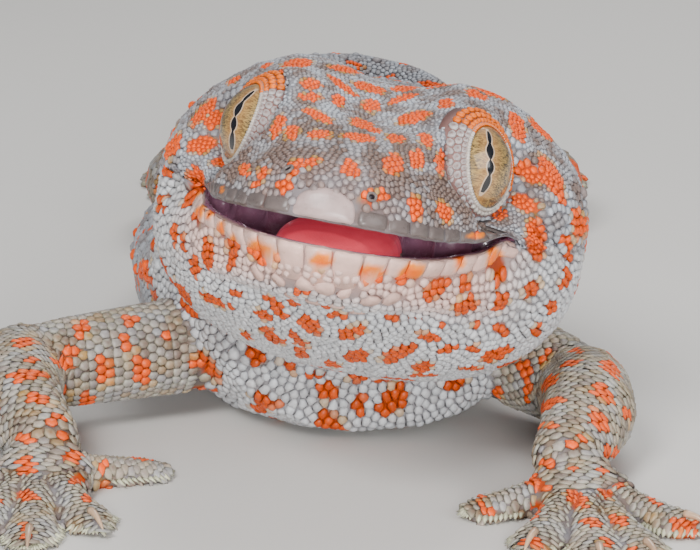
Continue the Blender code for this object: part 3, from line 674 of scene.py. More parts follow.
def sculpt(places, normals, inside):
    """Shape the head's forms, creases and hollows on the even skin."""
    local = on_head(places)
    shift = np.zeros(len(places))
    for along, aside, above, radius, height in HEAD_FORMS:
        for side in (1, -1) if aside else (1,):
            gap = np.linalg.norm(local - (along, aside * side, above), axis=1)
            shift += height * np.exp(-(gap / radius) ** 2)
    flat = picture_place(places)
    towards = unit(CAMERA_PLACE - places)
    front = places[:, 1] < FRONT_END
    seen = smooth((normals * towards).sum(-1), 0.05, 0.3) * front
    for line, width, depth in CREASES:
        shift -= depth * np.exp(-(gap_to_line(flat, line) / width) ** 2) * seen
    rise_over_edge = from_table(THROAT_EDGE, flat[:, 0]) - flat[:, 1]
    sides = smooth(flat[:, 0], 196, 250) * (1 - smooth(flat[:, 0], 488, 540))
    pouch = smooth(rise_over_edge, -1.0, 7.0) * (1 - smooth(rise_over_edge, 22.0, 62.0)) * sides * seen
    along, _, above = local.T
    inset = edge_inset(local)
    hollow = smooth(inset, 1.6, 4.5) * smooth(along, CORNER_ALONG, CORNER_ALONG + 5.0) * inside
    level = normals @ HEAD_UP
    rise = hollow * np.where(level < 0, 1.0, -1.4)
    upper, lower = lip_levels(along)
    up_shift, low_shift = lip_shifts(along)
    middle = (upper + lower) / 2
    outer = 1 - smooth(inset, 2.0, 4.5)
    rise += low_shift * smooth(above - lower, -5.0, -0.6) * (above < middle) * outer
    rise += up_shift * (1 - smooth(above - upper, 0.4, 3.0)) * (above >= middle) * outer
    dip = from_table(CROWN_DIP, flat[:, 0])
    rise -= dip * smooth(above, 5.0, 11.0) * smooth(along, 0.0, 8.0) * (level > -0.2) * front
    swollen = places + normals * shift[:, None] + HEAD_UP * rise[:, None]
    return swollen + POUCH_WAY * pouch[:, None] * POUCH_REACH


def surface(skin_data, places):
    """A search tree of the skin's faces, and one corner of each face."""
    faces = [list(face.vertices) for face in skin_data.polygons]
    return BVHTree.FromPolygons(places.tolist(), faces), np.array([face[0] for face in faces])


NODE_TREE, NODE_OWNERS = node_lookup()
skin, skin_places, skin_normals, skin_inside = build_skin()
SKIN_TREE, FACE_CORNERS = surface(skin.data, skin_places)


def settle(places):
    """Places moved onto the skin, with the smooth normals there."""
    moved = np.empty_like(places)
    corners = np.empty(len(places), int)
    for index, place in enumerate(places.tolist()):
        spot, _, face, _ = SKIN_TREE.find_nearest(place)
        moved[index] = spot
        corners[index] = FACE_CORNERS[face]
    return moved, skin_normals[corners]


def owners_of(places):
    """The number of the flesh node nearest each place."""
    found = np.empty(len(places), int)
    for index, place in enumerate(places.tolist()):
        found[index] = NODE_OWNERS[NODE_TREE.find_nearest(place)[2]]
    return found


def belongs(owners, *names):
    """Whether places are owned by the named nodes."""
    return np.isin(owners, [OWNER[name] for name in names])


def on_floor(places, normals, gap=0.3, slope=-0.8):
    """Whether places on the skin rest on the floor."""
    return (places[:, 2] < gap) & (normals[:, 2] < slope)


SKIN_OWNERS = owners_of(skin_places)
OWNER = {name: number for number, name in enumerate(FLESH)}
TRUNK = ("head", "lower_jaw", "neck", "torso", "tail_base", "tail_middle", "tail_tip")


# The markings

NOSTRIL_WIDTH = 0.26
NOSTRILS = [(371, 197), (289, 170)]

# Orange patches that the picture shows: place in the picture, half length, half width, turn in degrees
CROWN_PATCHES = [
    (298, 64, 18, 6, -12), (345, 70, 19, 3.5, 10), (354, 65, 12, 2.5, 18), (342, 86, 19, 3.5, 36),
    (311, 84, 11, 5.5, 8), (310, 97, 12, 4.5, 0), (338, 101, 7, 6.5, 60), (368, 88, 18, 4.5, 15),
    (371, 106, 10, 6.5, 8), (319, 116, 16, 5, 27), (361, 124, 13, 5, 15), (319, 135, 13, 5.5, 0),
    (358, 138, 17, 4.5, 8), (272, 105, 12, 7, 110), (278, 126, 14, 5.5, 112), (292, 133, 9, 7, -50),
    (204, 112, 19, 5.5, -48), (214, 120, 12, 7.5, -45), (201, 145, 16, 9, -15), (174, 147, 15, 6, -60),
    (165, 171, 7, 5, 20), (187, 176, 12, 8, -35), (181, 193, 17, 6, 100), (160, 197, 5, 4, 0),
    (161, 208, 5, 4, 0), (197, 214, 10, 6, 85), (232, 162, 22, 5.5, -5), (245, 171, 8, 5.5, 80),
    (264, 173, 6.5, 6, 90), (257, 184, 7, 4.5, -30), (294, 168, 12, 6, -60), (311, 163, 10, 5, -20),
    (285, 185, 9, 7, 0), (351, 169, 11, 8, 40), (371, 198, 11, 7, 0), (234, 81, 8, 2.5, -30),
    (267, 66, 6, 2.5, -20), (223, 190, 4, 2.5, 70), (393, 77, 7, 1.5, 0), (404, 89, 16, 3, -5),
    (431, 85, 15, 3, 8), (402, 99, 17, 3.5, -18), (446, 106, 10.5, 7.5, 100), (413, 118, 18, 6, -15),
    (375, 131, 6, 3, 10), (395, 139, 10, 4.5, 10), (426, 140, 9, 6.5, 50), (393, 164, 12, 10, 90),
    (417, 159, 11, 7.5, 90), (440, 163, 14, 4.5, 90), (517, 127, 16, 8, 70), (448, 157, 4.5, 2, 20),
    (473, 94, 8, 5, 30), (483, 98, 5, 3.5, 20), (489, 93, 18, 2.5, 22), (541, 130, 17, 4.5, 42),
    (529, 173, 17, 9, 35), (551, 177, 26, 9, 62), (576, 172, 15, 5, 60), (586, 190, 8, 2.5, 80),
    (578, 224, 16, 8, 80), (470, 202, 16, 6, 25), (499, 214, 9, 7, 60), (526, 204, 17, 9, 25),
    (415, 208, 13, 7.5, 80), (444, 212, 12, 7.5, 65), (381, 195, 8, 5, 0), (562, 202, 4, 4, 0),
]
JAW_PATCHES = [
    (535, 240, 22, 10, 85), (566, 241, 10, 6, 50), (567, 256, 7, 4, 60), (566, 273, 7, 4.5, 70),
    (562, 284, 5, 4, 0), (495, 272, 17, 9, 65), (459, 265, 8, 6, 90), (435, 288, 14, 8, -40),
    (464, 284, 8, 6, 20), (464, 304, 13, 8, -25), (499, 302, 10, 7, -60), (531, 289, 12, 7, -45),
    (550, 306, 7, 5.5, -20), (502, 329, 10, 6, 20), (535, 329, 8, 4.5, -65), (475, 324, 4.5, 3.5, 0),
    (210, 214, 6.5, 4, -50), (223, 228, 8, 5, 100), (234, 250, 20, 6, 97), (209, 252, 18, 5.5, 85),
    (176, 234, 13, 3.5, 80), (185, 243, 9.5, 3, 80), (197, 266, 12, 5, 75), (185, 292, 15, 3.5, 60),
    (185, 304, 6, 4, 40), (194, 312, 7, 3.5, 25), (209, 296, 8, 5.5, 40), (220, 302, 8, 4, 40),
    (230, 303, 6, 3, 40), (240, 292, 7.5, 4.5, 10), (263, 252, 17, 12, 35), (323, 259, 13, 8.5, 5),
    (371, 272, 14, 9.5, 0), (409, 272, 16, 10, -20), (475, 237, 10, 3.5, 0),
]
THROAT_PATCHES = [
    (263, 313, 9.5, 5, 35), (277, 305, 17, 5, 45), (292, 300, 8, 3, 20), (301, 291, 10, 2.7, 2),
    (335, 305, 15, 2.5, 3), (336, 313, 11, 4, 8), (311, 324, 14, 6, 38), (353, 330, 16, 6.5, -18),
    (269, 330, 8, 5, 35), (247, 333, 7, 4, 45), (273, 335, 14, 5, 38), (299, 338, 13, 5, 40),
    (302, 351, 9, 4.5, 45), (357, 354, 14.5, 7, -12), (398, 352, 22, 6, -24), (393, 318, 9, 4.5, 15),
    (429, 335, 14, 4.5, 12), (415, 318, 10, 2, 10), (445, 348, 13, 4, -5), (472, 347, 6, 4.5, -20),
    (495, 353, 17, 6, -22), (438, 325, 3.5, 1.8, 0), (333, 362, 9, 4, 20), (357, 374, 12, 5.5, 8),
    (385, 379, 13.5, 4, -3), (423, 365, 11, 6, -20), (289, 366, 10, 4.5, 35), (317, 373, 11, 2.5, 8),
    (472, 366, 13, 2, 3),
]
CHEST_PATCHES = [
    (255, 349, 16, 9.5, 70), (209, 364, 19, 8, 60), (329, 390, 11, 11, 0), (359, 403, 10, 8, 90),
    (393, 399, 19, 13, -60), (455, 381, 13, 10, -35), (265, 399, 16, 6, 20), (260, 407, 11, 3, 5),
    (205, 407, 13, 7, -25), (317, 429, 8, 3, 0), (438, 420, 25, 4.5, -3), (483, 412, 9, 5.5, 100),
    (499, 392, 7, 4.5, -70), (527, 381, 20, 4.5, 90), (516, 413, 8.5, 4.5, 95), (510, 424, 5, 3, 0),
    (181, 398, 12, 8, 5), (192, 362, 7, 4.5, 90), (167, 333, 6, 4.5, 50), (520, 364, 6, 3.5, 0),
    (145, 270, 19, 9, -20), (120, 302, 13, 8, -60), (152, 281, 8, 5, 0), (156, 294, 7, 4, -60),
]
ARM_PATCHES = [
    (25, 344, 11.5, 5.5, -5), (83, 330, 9, 8, 30), (73, 350, 13, 6, 35), (33, 361, 6, 2, 0),
    (63, 363, 15, 5, 15), (27, 376, 19, 6, -5), (66, 393, 8, 4, 30), (37, 399, 19, 6, 12),
    (57, 419, 11, 4, -10), (27, 439, 11, 4.5, 15), (64, 435, 6.5, 2, 0), (105, 370, 20, 7, 88),
    (132, 350, 17, 5, 72), (145, 374, 14, 8.5, 80), (130, 321, 8.5, 5, 0), (166, 334, 7.5, 5, 50),
    (87, 399, 11, 6, -70), (70, 456, 11, 8, -5), (26, 466, 10, 10, 0), (78, 480, 10, 6, -10),
    (84, 499, 6, 4.5, 0), (27, 496, 12, 6, 0), (27, 530, 9.5, 5.5, 90), (97, 430, 8, 5, 15),
    (110, 442, 3, 2.5, 0), (135, 434, 7, 1.5, 5), (143, 454, 12, 3, 8), (156, 460, 7, 3, 0),
    (545, 358, 9, 6, -45), (573, 364, 9.5, 3.5, -8), (577, 352, 7, 2.2, 0), (611, 370, 11, 6.5, 35),
    (550, 383, 14, 4.5, -28), (602, 392, 12, 8, 45), (547, 406, 22, 4.5, -22), (597, 420, 14, 7.5, 50),
    (626, 414, 10, 3, 80), (549, 428, 13.5, 3.2, -3), (527, 429, 4, 2.5, -30), (582, 438, 6.5, 3.8, 30),
    (573, 444, 6, 3.5, 30), (606, 454, 8, 3.5, -65), (615, 451, 7, 3.5, -65), (525, 450, 8, 3.5, 30),
    (540, 464, 16, 4, 3), (572, 470, 6.5, 4, 10), (601, 472, 8, 4, 60), (498, 456, 6, 2, -15),
    (497, 471, 10, 5, 30), (476, 488, 5.5, 3.5, -25), (483, 500, 6, 3.5, 70), (489, 509, 6, 4, 0),
    (538, 483, 11.5, 7, 20), (538, 506, 10, 5, 0), (540, 517, 5, 4, 0), (577, 500, 14, 8, 45),
    (590, 523, 10, 4.5, 10), (606, 542, 7, 5, 30), (606, 495, 7, 5, 20), (618, 521, 10, 6, 50),
    (631, 548, 6, 4, 0), (619, 486, 7, 4, -20), (654, 504, 9, 2.5, 35),
]
# How deep a patch reaches: a share of its length, or for a hidden one a distance
PATCH_REACH = 0.17
PATCH_DEPTH = 3.0
HIDDEN_SPACING = 4.6
HIDDEN_CLEARANCE = 3.6
PICTURE_MARGIN = 4
# Points offered for each one that the spacing keeps
CROWDING = 6.0


def picture_hit(x, y):
    """The place and the normal of the skin that a place in the picture shows."""
    hit, _, face, _ = SKIN_TREE.ray_cast(CAMERA_PLACE.tolist(), picture_ray(x, y).tolist())
    if hit is None:
        return None
    return np.array(hit), skin_normals[FACE_CORNERS[face]]


def tree_node(tree, kind, settings=None, inputs=None):
    """The outputs of a new node, from its type, its settings, and its sockets' values or links."""
    made = tree.nodes.new(kind)
    for key, value in (settings or {}).items():
        setattr(made, key, value)
    for key, value in (inputs or {}).items():
        if isinstance(value, bpy.types.NodeSocket):
            tree.links.new(value, made.inputs[key])
        else:
            made.inputs[key].default_value = value
    return made.outputs


NOSTRIL_HITS = [picture_hit(x, y) for x, y in NOSTRILS]


def scatter(spacing, wanted, seed):
    """Evenly spread places on the skin where it is wanted, by Geometry Nodes."""
    layer = skin.data.attributes.get("wanted") or skin.data.attributes.new("wanted", "FLOAT", "POINT")
    layer.data.foreach_set("value", wanted.astype(np.float32))
    step = skin.modifiers.new("scatter", "NODES")
    step.node_group = SCATTER
    for name, value in (("Spacing", spacing * MM), ("Seed", seed)):
        socket = next(item for item in SCATTER.interface.items_tree if item.name == name)
        step[socket.identifier] = value
    found = places_of(evaluated(skin))
    skin.modifiers.remove(step)
    return found


def scatter_tree():
    """A node tree that spreads points on a surface no closer than a spacing."""
    tree = bpy.data.node_groups.new("scatter", "GeometryNodeTree")
    tree.interface.new_socket("Geometry", in_out="INPUT", socket_type="NodeSocketGeometry")
    tree.interface.new_socket("Spacing", in_out="INPUT", socket_type="NodeSocketFloat")
    tree.interface.new_socket("Seed", in_out="INPUT", socket_type="NodeSocketInt")
    tree.interface.new_socket("Geometry", in_out="OUTPUT", socket_type="NodeSocketGeometry")
    given = tree_node(tree, "NodeGroupInput")
    wanted = tree_node(tree, "GeometryNodeInputNamedAttribute", {"data_type": "FLOAT"}, {"Name": "wanted"})
    crowd = tree_node(tree, "ShaderNodeMath", {"operation": "POWER"}, {0: given["Spacing"], 1: -2.0})
    crowd = tree_node(tree, "ShaderNodeMath", {"operation": "MULTIPLY"}, {0: crowd[0], 1: CROWDING})
    sockets = {
        "Mesh": given["Geometry"], "Distance Min": given["Spacing"], "Density Max": crowd[0],
        "Density Factor": wanted["Attribute"], "Seed": given["Seed"],
    }
    spread = tree_node(tree, "GeometryNodeDistributePointsOnFaces", {"distribute_method": "POISSON"}, sockets)
    vertices = tree_node(tree, "GeometryNodePointsToVertices", None, {"Points": spread["Points"]})
    tree_node(tree, "NodeGroupOutput", None, {"Geometry": vertices["Mesh"]})
    return tree


SCATTER = scatter_tree()


def in_picture(places, normals):
    """Whether the camera of the picture sees places on the skin."""
    x, y = picture_place(places).T
    towards = unit(CAMERA_PLACE - places)
    seen = (x > PICTURE_MARGIN) & (x < PICTURE_WIDTH - PICTURE_MARGIN)
    seen &= (y > PICTURE_MARGIN) & (y < PICTURE_HEIGHT - PICTURE_MARGIN)
    seen &= (towards * normals).sum(-1) > 0.12
    for index in np.flatnonzero(seen):
        start = places[index] + normals[index] * 0.5
        seen[index] = SKIN_TREE.ray_cast(start.tolist(), towards[index].tolist())[0] is None
    return seen


def seen_patches():
    """The orange patches of the picture, each with its place on the skin."""
    rows = CROWN_PATCHES + JAW_PATCHES + THROAT_PATCHES + CHEST_PATCHES + ARM_PATCHES
    hits = [(row, picture_hit(row[0], row[1])) for row in rows]
    return [(row, hit[0]) for row, hit in hits if hit is not None]


def hidden_patches(kept):
    """Orange patches in the same manner on what the picture doesn't show."""
    patches = []
    places, normals = settle(scatter(HIDDEN_SPACING, np.ones(len(skin_places)), 5))
    hidden = ~in_picture(places, normals)
    clear = ((places[:, None] - kept[None]) ** 2).sum(-1).min(1) > HIDDEN_CLEARANCE ** 2
    _, _, headings = BODY.read(places)
    for index in np.flatnonzero(hidden & clear):
        normal = normals[index]
        lengthwise = square_to(headings[index], normal)
        across = np.cross(normal, lengthwise)
        turn = random.uniform(-0.5, 0.5)
        long, short = random.uniform(1.2, 2.3), random.uniform(0.7, 1.1)
        main = across * cos(turn) + lengthwise * sin(turn)
        patches.append((places[index], normal, main * long, np.cross(normal, main) * short))
    return patches


SEEN_PATCHES = seen_patches()
HIDDEN_PATCHES = hidden_patches(np.array([middle for _, middle in SEEN_PATCHES]))


def patch_share(places):
    """How far inside an orange patch places are: above 0 inside, 1 in its middle."""
    best = np.full(len(places), -1.0)
    flat = picture_place(places)
    for (x, y, length, width, turn), middle in SEEN_PATCHES:
        offset = flat - (x, y)
        near = np.flatnonzero((offset ** 2).sum(-1) < (1.4 * max(length, width)) ** 2)
        if len(near) == 0:
            continue
        right, down = offset[near].T
        u = (right * cos(radians(turn)) + down * sin(radians(turn))) / length
        v = (down * cos(radians(turn)) - right * sin(radians(turn))) / width
        depth = np.linalg.norm(places[near] - middle, axis=1) / (1.2 + PATCH_REACH * length)
        best[near] = np.maximum(best[near], 1 - np.sqrt(u * u + v * v + depth ** 6))
    for middle, normal, long, short in HIDDEN_PATCHES:
        offset = places - middle
        reach = np.linalg.norm(long) * 1.3
        near = np.flatnonzero((offset ** 2).sum(-1) < reach * reach + 1.0)
        if len(near) == 0:
            continue
        close = offset[near]
        u = close @ long / (long @ long)
        v = close @ short / (short @ short)
        depth = np.abs(close @ normal) / PATCH_DEPTH
        best[near] = np.maximum(best[near], 1 - np.sqrt(u * u + v * v + depth ** 4))
    return best


def markings(places, normals, owners, jitter=0.0):
    """The skin's colours at places, before each scale's own variation."""
    along, _, above = on_head(places).T
    up = normals[:, 2]
    mottle = 0.5 + 0.55 * waves(places, 4.2, 3) + 0.45 * waves(places, 1.5, 4)
    head = belongs(owners, "head", "lower_jaw")
    jaw = owners == OWNER["lower_jaw"]
    throat = jaw | ((owners == OWNER["neck"]) & (up < 0.3))
    crown = head & (normals @ HEAD_UP > 0.35)
    limb = ~belongs(owners, *TRUNK)
    most = np.where(limb, 0.65, np.where(throat, 0.45, np.where(crown, 0.95, 0.6)))
    brownness = np.clip(mottle, 0, 1) * most * (1 - 0.6 * smooth(-up, 0.1, 0.5)) + 0.44 * limb
    brownness += 0.48 * head * smooth(along, 30.0, 40.0) * (1 - jaw)
    colour = mix(PALE, BROWN, np.clip(brownness, 0, 1)[:, None])
    colour = mix(colour, WHITE, np.where(throat, 0.4, 0.0)[:, None])
    green = (limb * np.clip(0.10 + 0.22 * waves(places, 3.0, 14), 0, 1))[:, None]
    colour = mix(colour, OLIVE * 0.9, green)
    chin = (jaw * smooth(along, 22.0, 34.0) * smooth(above, -10.5, -8.0))[:, None] * 0.9
    colour = mix(colour, PINK, chin)
    snout = (head * smooth(along, 41.5, 46.0))[:, None] * 0.25
    colour = mix(colour, ROSTRAL, snout)
    share = patch_share(places) + 0.10 * waves(places, 1.1, 8) + jitter
    orange = mix(ORANGE, RUST, np.where(throat & (along < 40), 0.6, 0.0)[:, None])
    colour = mix(colour, OLIVE, smooth(share, -0.14, 0.0)[:, None] * 0.6)
    return mix(colour, orange, smooth(share, 0.0, 0.10)[:, None])


def mouth_colours(places, normals, colours, inside):
    """The wet lining of the mouth laid over the skin's colours, with painted shade deeper in."""
    rim = (1 - smooth(edge_inset(on_head(places)), 1.2, 3.4))[:, None]
    below = ((normals @ HEAD_UP) > 0)[:, None]
    # Deeper in, the lining turns darker and the roof darker than the floor: painted shade in the mouth over
    # the lining's own lilac and red.
    deep = np.where(below, LILAC * 0.6, PLUM)
    edge = np.where(below, LILAC, GUM * 0.55)
    return mix(colours, mix(deep, edge, rim), inside[:, None])


skin_colours = mouth_colours(
    skin_places, skin_normals, markings(skin_places, skin_normals, SKIN_OWNERS) * RIM_SHADE, skin_inside
)
paint(skin.data, skin_colours)
wetness = skin.data.attributes.new("wetness", "FLOAT", "POINT")
wetness.data.foreach_set("value", skin_inside.astype(np.float32))


# Finishes

class Socket:
    """A shader socket that takes part in Python expressions."""

    def __init__(self, finish, socket):
        self.finish = finish
        self.socket = socket

    def math(self, operation, first, second=None):
        values = [first] if second is None else [first, second]
        return self.finish.node("ShaderNodeMath", {"operation": operation}, dict(enumerate(values)))

    def __add__(self, other):
        return self.math("ADD", self, other)

    def __sub__(self, other):
        return self.math("SUBTRACT", self, other)

    def __rsub__(self, other):
        return self.math("SUBTRACT", other, self)

    def __mul__(self, other):
        return self.math("MULTIPLY", self, other)

    __radd__ = __add__
    __rmul__ = __mul__

    def at_least(self, other):
        return self.math("MAXIMUM", self, other)

    def over(self, other):
        return self.math("GREATER_THAN", self, other)

    def size(self):
        return self.math("ABSOLUTE", self)


class Finish:
    """A material whose nodes are written as expressions."""

    def __init__(self, name, **constants):
        self.material = bpy.data.materials.new(name)
        self.material.use_nodes = True
        self.tree = self.material.node_tree
        self.shader = self.tree.nodes["Principled BSDF"]
        for socket, value in constants.items():
            self.shader.inputs[socket.replace("_", " ")].default_value = value

    def node(self, kind, settings=None, inputs=None, output=0):
        """A node from its type, its settings, and the values or links of its sockets."""
        plain = {key: getattr(value, "socket", value) for key, value in (inputs or {}).items()}
        return Socket(self, tree_node(self.tree, kind, settings, plain)[output])

    def blend(self, share, first, second, way="MIX"):
        """A mix of two colours."""
        settings = {"data_type": "RGBA", "blend_type": way}
        return self.node("ShaderNodeMix", settings, {0: share, 6: first, 7: second}, 2)

    def noise(self, scale, detail=2.0, roughness=0.5):
        """A noise on the object's own place."""
        place = self.node("ShaderNodeTexCoord", output="Object")
        settings = {"Vector": place, "Scale": scale, "Detail": detail, "Roughness": roughness}
        return self.node("ShaderNodeTexNoise", None, settings, "Fac")

    def feed(self, socket, value):
        """Lead a value to a socket of the shader."""
        self.tree.links.new(value.socket, self.shader.inputs[socket])

    def bump(self, height, distance, strength=1.0):
        """Fine relief."""
        relief = {"Height": height, "Distance": distance * MM, "Strength": strength}
        self.feed("Normal", self.node("ShaderNodeBump", None, relief, "Normal"))


def marked_finish(name, roughness, grain, relief, wet=False):
    """Skin or scales in their marking's colours, with fine grain."""
    finish = Finish(name, Coat_Roughness=0.12, Specular_IOR_Level=0.3)
    marking = finish.node("ShaderNodeAttribute", {"attribute_name": "marking"}, output="Color")
    tone = finish.noise(grain, 3.0, 0.6)
    shade = finish.node("ShaderNodeMapRange", None, {"Value": tone, 3: 0.76, 4: 1.2})
    finish.feed("Base Color", finish.blend(1.0, marking, shade, "MULTIPLY"))
    matte = finish.node("ShaderNodeMapRange", None, {"Value": tone, 3: roughness - 0.08, 4: roughness + 0.1})
    if wet:
        wetness = finish.node("ShaderNodeAttribute", {"attribute_name": "wetness"}, output="Fac")
        finish.feed("Coat Weight", wetness * 0.8)
        matte = matte - wetness * 0.25
    finish.feed("Roughness", matte)
    finish.bump(finish.noise(grain * 2.2, 3.0, 0.65), relief, 0.6)
    return finish.material


SKIN_FINISH = marked_finish("skin_finish", 0.5, 900.0, 0.08, wet=True)
SCALE_FINISH = marked_finish("scale_finish", 0.40, 1400.0, 0.04)
skin.data.materials.append(SKIN_FINISH)


# The lips

UPPER_PLATE = 1.6
LOWER_PLATE = 2.2
ROSTRAL_HALF = 3.0
ROSTRAL_HEIGHT = 3.0
MENTAL_HALF = 1.3
UPPER_END = 29.6
LOWER_END = 28.0
LIP_CENTRE = 24.0
LIP_ROUND = 0.45
UPPER_TURN = radians(70)
LOWER_TURN = radians(76)
LIP_NUDGES = (0.0, 0.5, 1.0, 1.5)
LIP_INSET = 1.9
UPPER_COUNT = 12
LOWER_COUNT = 10
PLATE_LAP = 0.2
LIP_DEPTH = 4.5
PLATE_WARM = np.array((1.0, 2.6, 4.0))
PLATE_GLOW = np.array((1.0, 1.5, 2.0))
# The size of one scale or plate on a coat's unwrap, and the millimetres that a head or a limb takes across it
MARK_SIZE = 0.0015
HEAD_CHART = 52.0
LIMB_CHART = 60.0
PLATE_CHART = 120.0


def lip_edges(along):
    """The heights of the skin's own rounded lips at places along the head."""
    upper, lower = lip_levels(along)
    up_shift, low_shift = lip_shifts(along)
    return upper + up_shift + LIP_ROUND, lower + low_shift - LIP_ROUND


class Lip:
    """Places on the outer skin by their distance round a lip and their rise from its edge."""

    def __init__(self, upper):
        self.upper = upper
        reach = UPPER_TURN if upper else LOWER_TURN
        turns = np.linspace(-reach, reach, 160)
        places = np.array([self.cast(turn, 0.7 if upper else -0.7)[0] for turn in turns])
        steps = np.linalg.norm(np.diff(places, axis=0), axis=1)
        lengths = np.concatenate(([0.0], np.cumsum(steps)))
        self.turns = turns
        self.lengths = lengths - np.interp(0.0, turns, lengths)

    def cast(self, turn, rise):
        """The outer skin's place and normal at a turn round the jaw from straight ahead."""
        along = LIP_CENTRE + 18.0 * cos(turn)
        for _ in range(3):
            level = lip_edges(along)[0 if self.upper else 1] + rise
            for nudge in LIP_NUDGES:
                height = level + (nudge if self.upper else -nudge)
                inner = head_place(LIP_CENTRE, 0.0, height)
                outer = head_place(LIP_CENTRE + 40.0 * cos(turn), 40.0 * sin(turn), height)
                hit, _, face, _ = SKIN_TREE.ray_cast(outer.tolist(), (inner - outer).tolist())
                if edge_inset(on_head(np.array(hit))[None])[0] < LIP_INSET:
                    break
            along = on_head(np.array(hit))[0]
        return np.array(hit), skin_normals[FACE_CORNERS[face]]

    def at(self, length, rise):
        """The outer skin's place and normal a distance round the lip."""
        return self.cast(np.interp(length, self.lengths, self.turns), rise)


def plate_colours(places, base):
    """A smooth plate's colour with the soft-edged markings over it."""
    share = patch_share(places) + 0.10 * waves(places, 2.2, 21)
    warm = smooth(share, -0.12, 0.30)[:, None]
    glow = smooth(share, 0.1, 0.6)[:, None]
    tone = 1 + 0.10 * waves(places, 1.3, 22)[:, None]
    colour = mix(base * tone, ORANGE * PLATE_WARM, warm)
    return mix(colour, ORANGE * PLATE_GLOW, glow)


def plate(read, start, end, low, high, height, base, rows=(9, 7), narrow=0.0, arch=0.07):
    """A smooth domed plate laid on the skin between two distances and two rises."""
    across = np.sin(np.linspace(-pi / 2, pi / 2, rows[0]))
    upward = np.sin(np.linspace(-pi / 2, pi / 2, rows[1]))
    places, normals, lifts = [], [], []
    for t in upward:
        for s in across:
            u = (start + end) / 2 + (end - start) / 2 * s * (1 - 0.05 * t * t - narrow * (t + 1) / 2)
            share = (t + 1) / 2 if low >= 0 else (1 - t) / 2
            near, far = (low, high) if low >= 0 else (high, low)
            v = near + (far - near) * share * (1 - arch * s * s)
            place, normal = read(u, v)
            places.append(place)
            normals.append(normal)
            lifts.append(-0.15 + (height + 0.15) * (1 - abs(s) ** 5) ** 0.6 * (1 - abs(t) ** 5) ** 0.6)
    places, normals, lifts = np.array(places), np.array(normals), np.array(lifts)
    wide, tall = rows
    grid = np.arange(wide * tall).reshape(tall, wide)
    quads = np.stack((grid[:-1, :-1], grid[:-1, 1:], grid[1:, 1:], grid[1:, :-1]), -1).reshape(-1, 4)
    rim = np.concatenate((grid[0, :-1], grid[:-1, -1], grid[-1, :0:-1], grid[:0:-1, 0]))
    colours = plate_colours(places, base)
    # Each plate's rim is darkened: painted shade in the seam between plates.
    colours[rim] *= 0.6
    spots = places + normals * lifts[:, None]
    turn = np.cross(spots[1] - spots[0], spots[wide] - spots[0]) @ normals[0]
    if turn < 0:
        quads = quads[:, ::-1]
    else:
        rim = rim[::-1]
    marks = np.stack((np.tile(across, tall), np.repeat(upward, wide)), -1)
    return spots, colours, quads, rim[None], marks


class Plates:
    """Plates gathered into one piece of the coat."""

    def __init__(self):
        self.parts = []
        self.count = 0

    def add(self, spots, colours, quads, rim, marks):
        middle = spots.mean(0)
        chart = 0.5 + middle[[0, 2]] / PLATE_CHART
        self.parts.append((spots, colours, quads + self.count, rim + self.count, chart + marks * MARK_SIZE))
        self.count += len(spots)

    def make(self, name):
        spots, colours, quads, rims, marks = zip(*self.parts)
        piece = new_mesh(name, np.concatenate(spots), [np.concatenate(quads), *rims],
                         np.concatenate(colours), np.concatenate(marks))
        piece.data.materials.append(PLATE_FINISH)
        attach(piece, "root")


PLATE_FINISH = marked_finish("plate_finish", 0.28, 700.0, 0.03)


def build_lips():
    """The smooth plates along both lips, with the rostral and the mental between them."""
    plates = Plates()
    upper, lower = Lip(True), Lip(False)
    plates.add(*plate(
        upper.at, -ROSTRAL_HALF, ROSTRAL_HALF, 0.05, ROSTRAL_HEIGHT, 0.34, ROSTRAL,
        rows=(15, 9), narrow=0.10, arch=0.34,
    ))
    plates.add(*plate(lower.at, -MENTAL_HALF, MENTAL_HALF, -LOWER_PLATE - 0.4, -0.05, 0.30, PINK))
    for lip, half, count, size, base, high in (
        (upper, ROSTRAL_HALF, UPPER_COUNT, UPPER_PLATE, LABIAL, 0.22),
        (lower, MENTAL_HALF, LOWER_COUNT, LOWER_PLATE, PINK, 0.28),
    ):
        for side in (1, -1):
            reach = abs(lip.lengths[-1 if side > 0 else 0])
            shares = np.linspace(0, 1, count + 1) ** 0.92
            ends = half + (reach - half) * shares
            for number in range(count):
                span = sorted((ends[number] * side, ends[number + 1] * side))
                rise = size * (1.0 - 0.38 * number / count)
                levels = (0.05, rise) if lip.upper else (-rise, -0.05)
                tone = 1 - 0.18 * number / count + random.uniform(-0.05, 0.05)
                plates.add(*plate(lip.at, span[0] + 0.01, span[1] - 0.01, *levels, high, base * tone))
    plates.make("lip_plates")


# The scales

NO_TINT = (-1.0, -1.0, -1.0)
# How far apart neighbours are pushed, as a share of their widths, and how much of it in one round
EVEN_SHARE = 0.54
EVEN_STEP = 0.4


class Scales:
    """Scales gathered with their place, lie, size and shape."""

    fields = (
        "place", "normal", "lie", "tint", "size", "stretch", "height", "shoulder", "overlap", "sharp",
        "border", "owner", "fixed",
    )

    def __init__(self):
        self.rows = {name: [] for name in self.fields}

    def add(self, places, normals, lie, size, stretch=1.0, height=0.3, shoulder=0.75, overlap=0.0, sharp=1.0,
            border=0.0, fixed=False, tint=NO_TINT):
        count = len(places)
        values = dict(
            place=places, normal=normals, lie=lie, tint=tint, size=size, stretch=stretch, height=height,
            shoulder=shoulder, overlap=overlap, sharp=sharp, border=border, owner=owners_of(places),
            fixed=fixed,
        )
        for name, value in values.items():
            shape = (count, 3) if name in ("place", "normal", "lie", "tint") else (count,)
            self.rows[name].append(np.broadcast_to(value, shape).astype(float))

    def gather(self):
        for name in self.fields:
            setattr(self, name, np.concatenate(self.rows[name]))


def search_tree(places):
    """A search tree of places."""
    tree = KDTree(len(places))
    for index, place in enumerate(places.tolist()):
        tree.insert(place, index)
    tree.balance()
    return tree


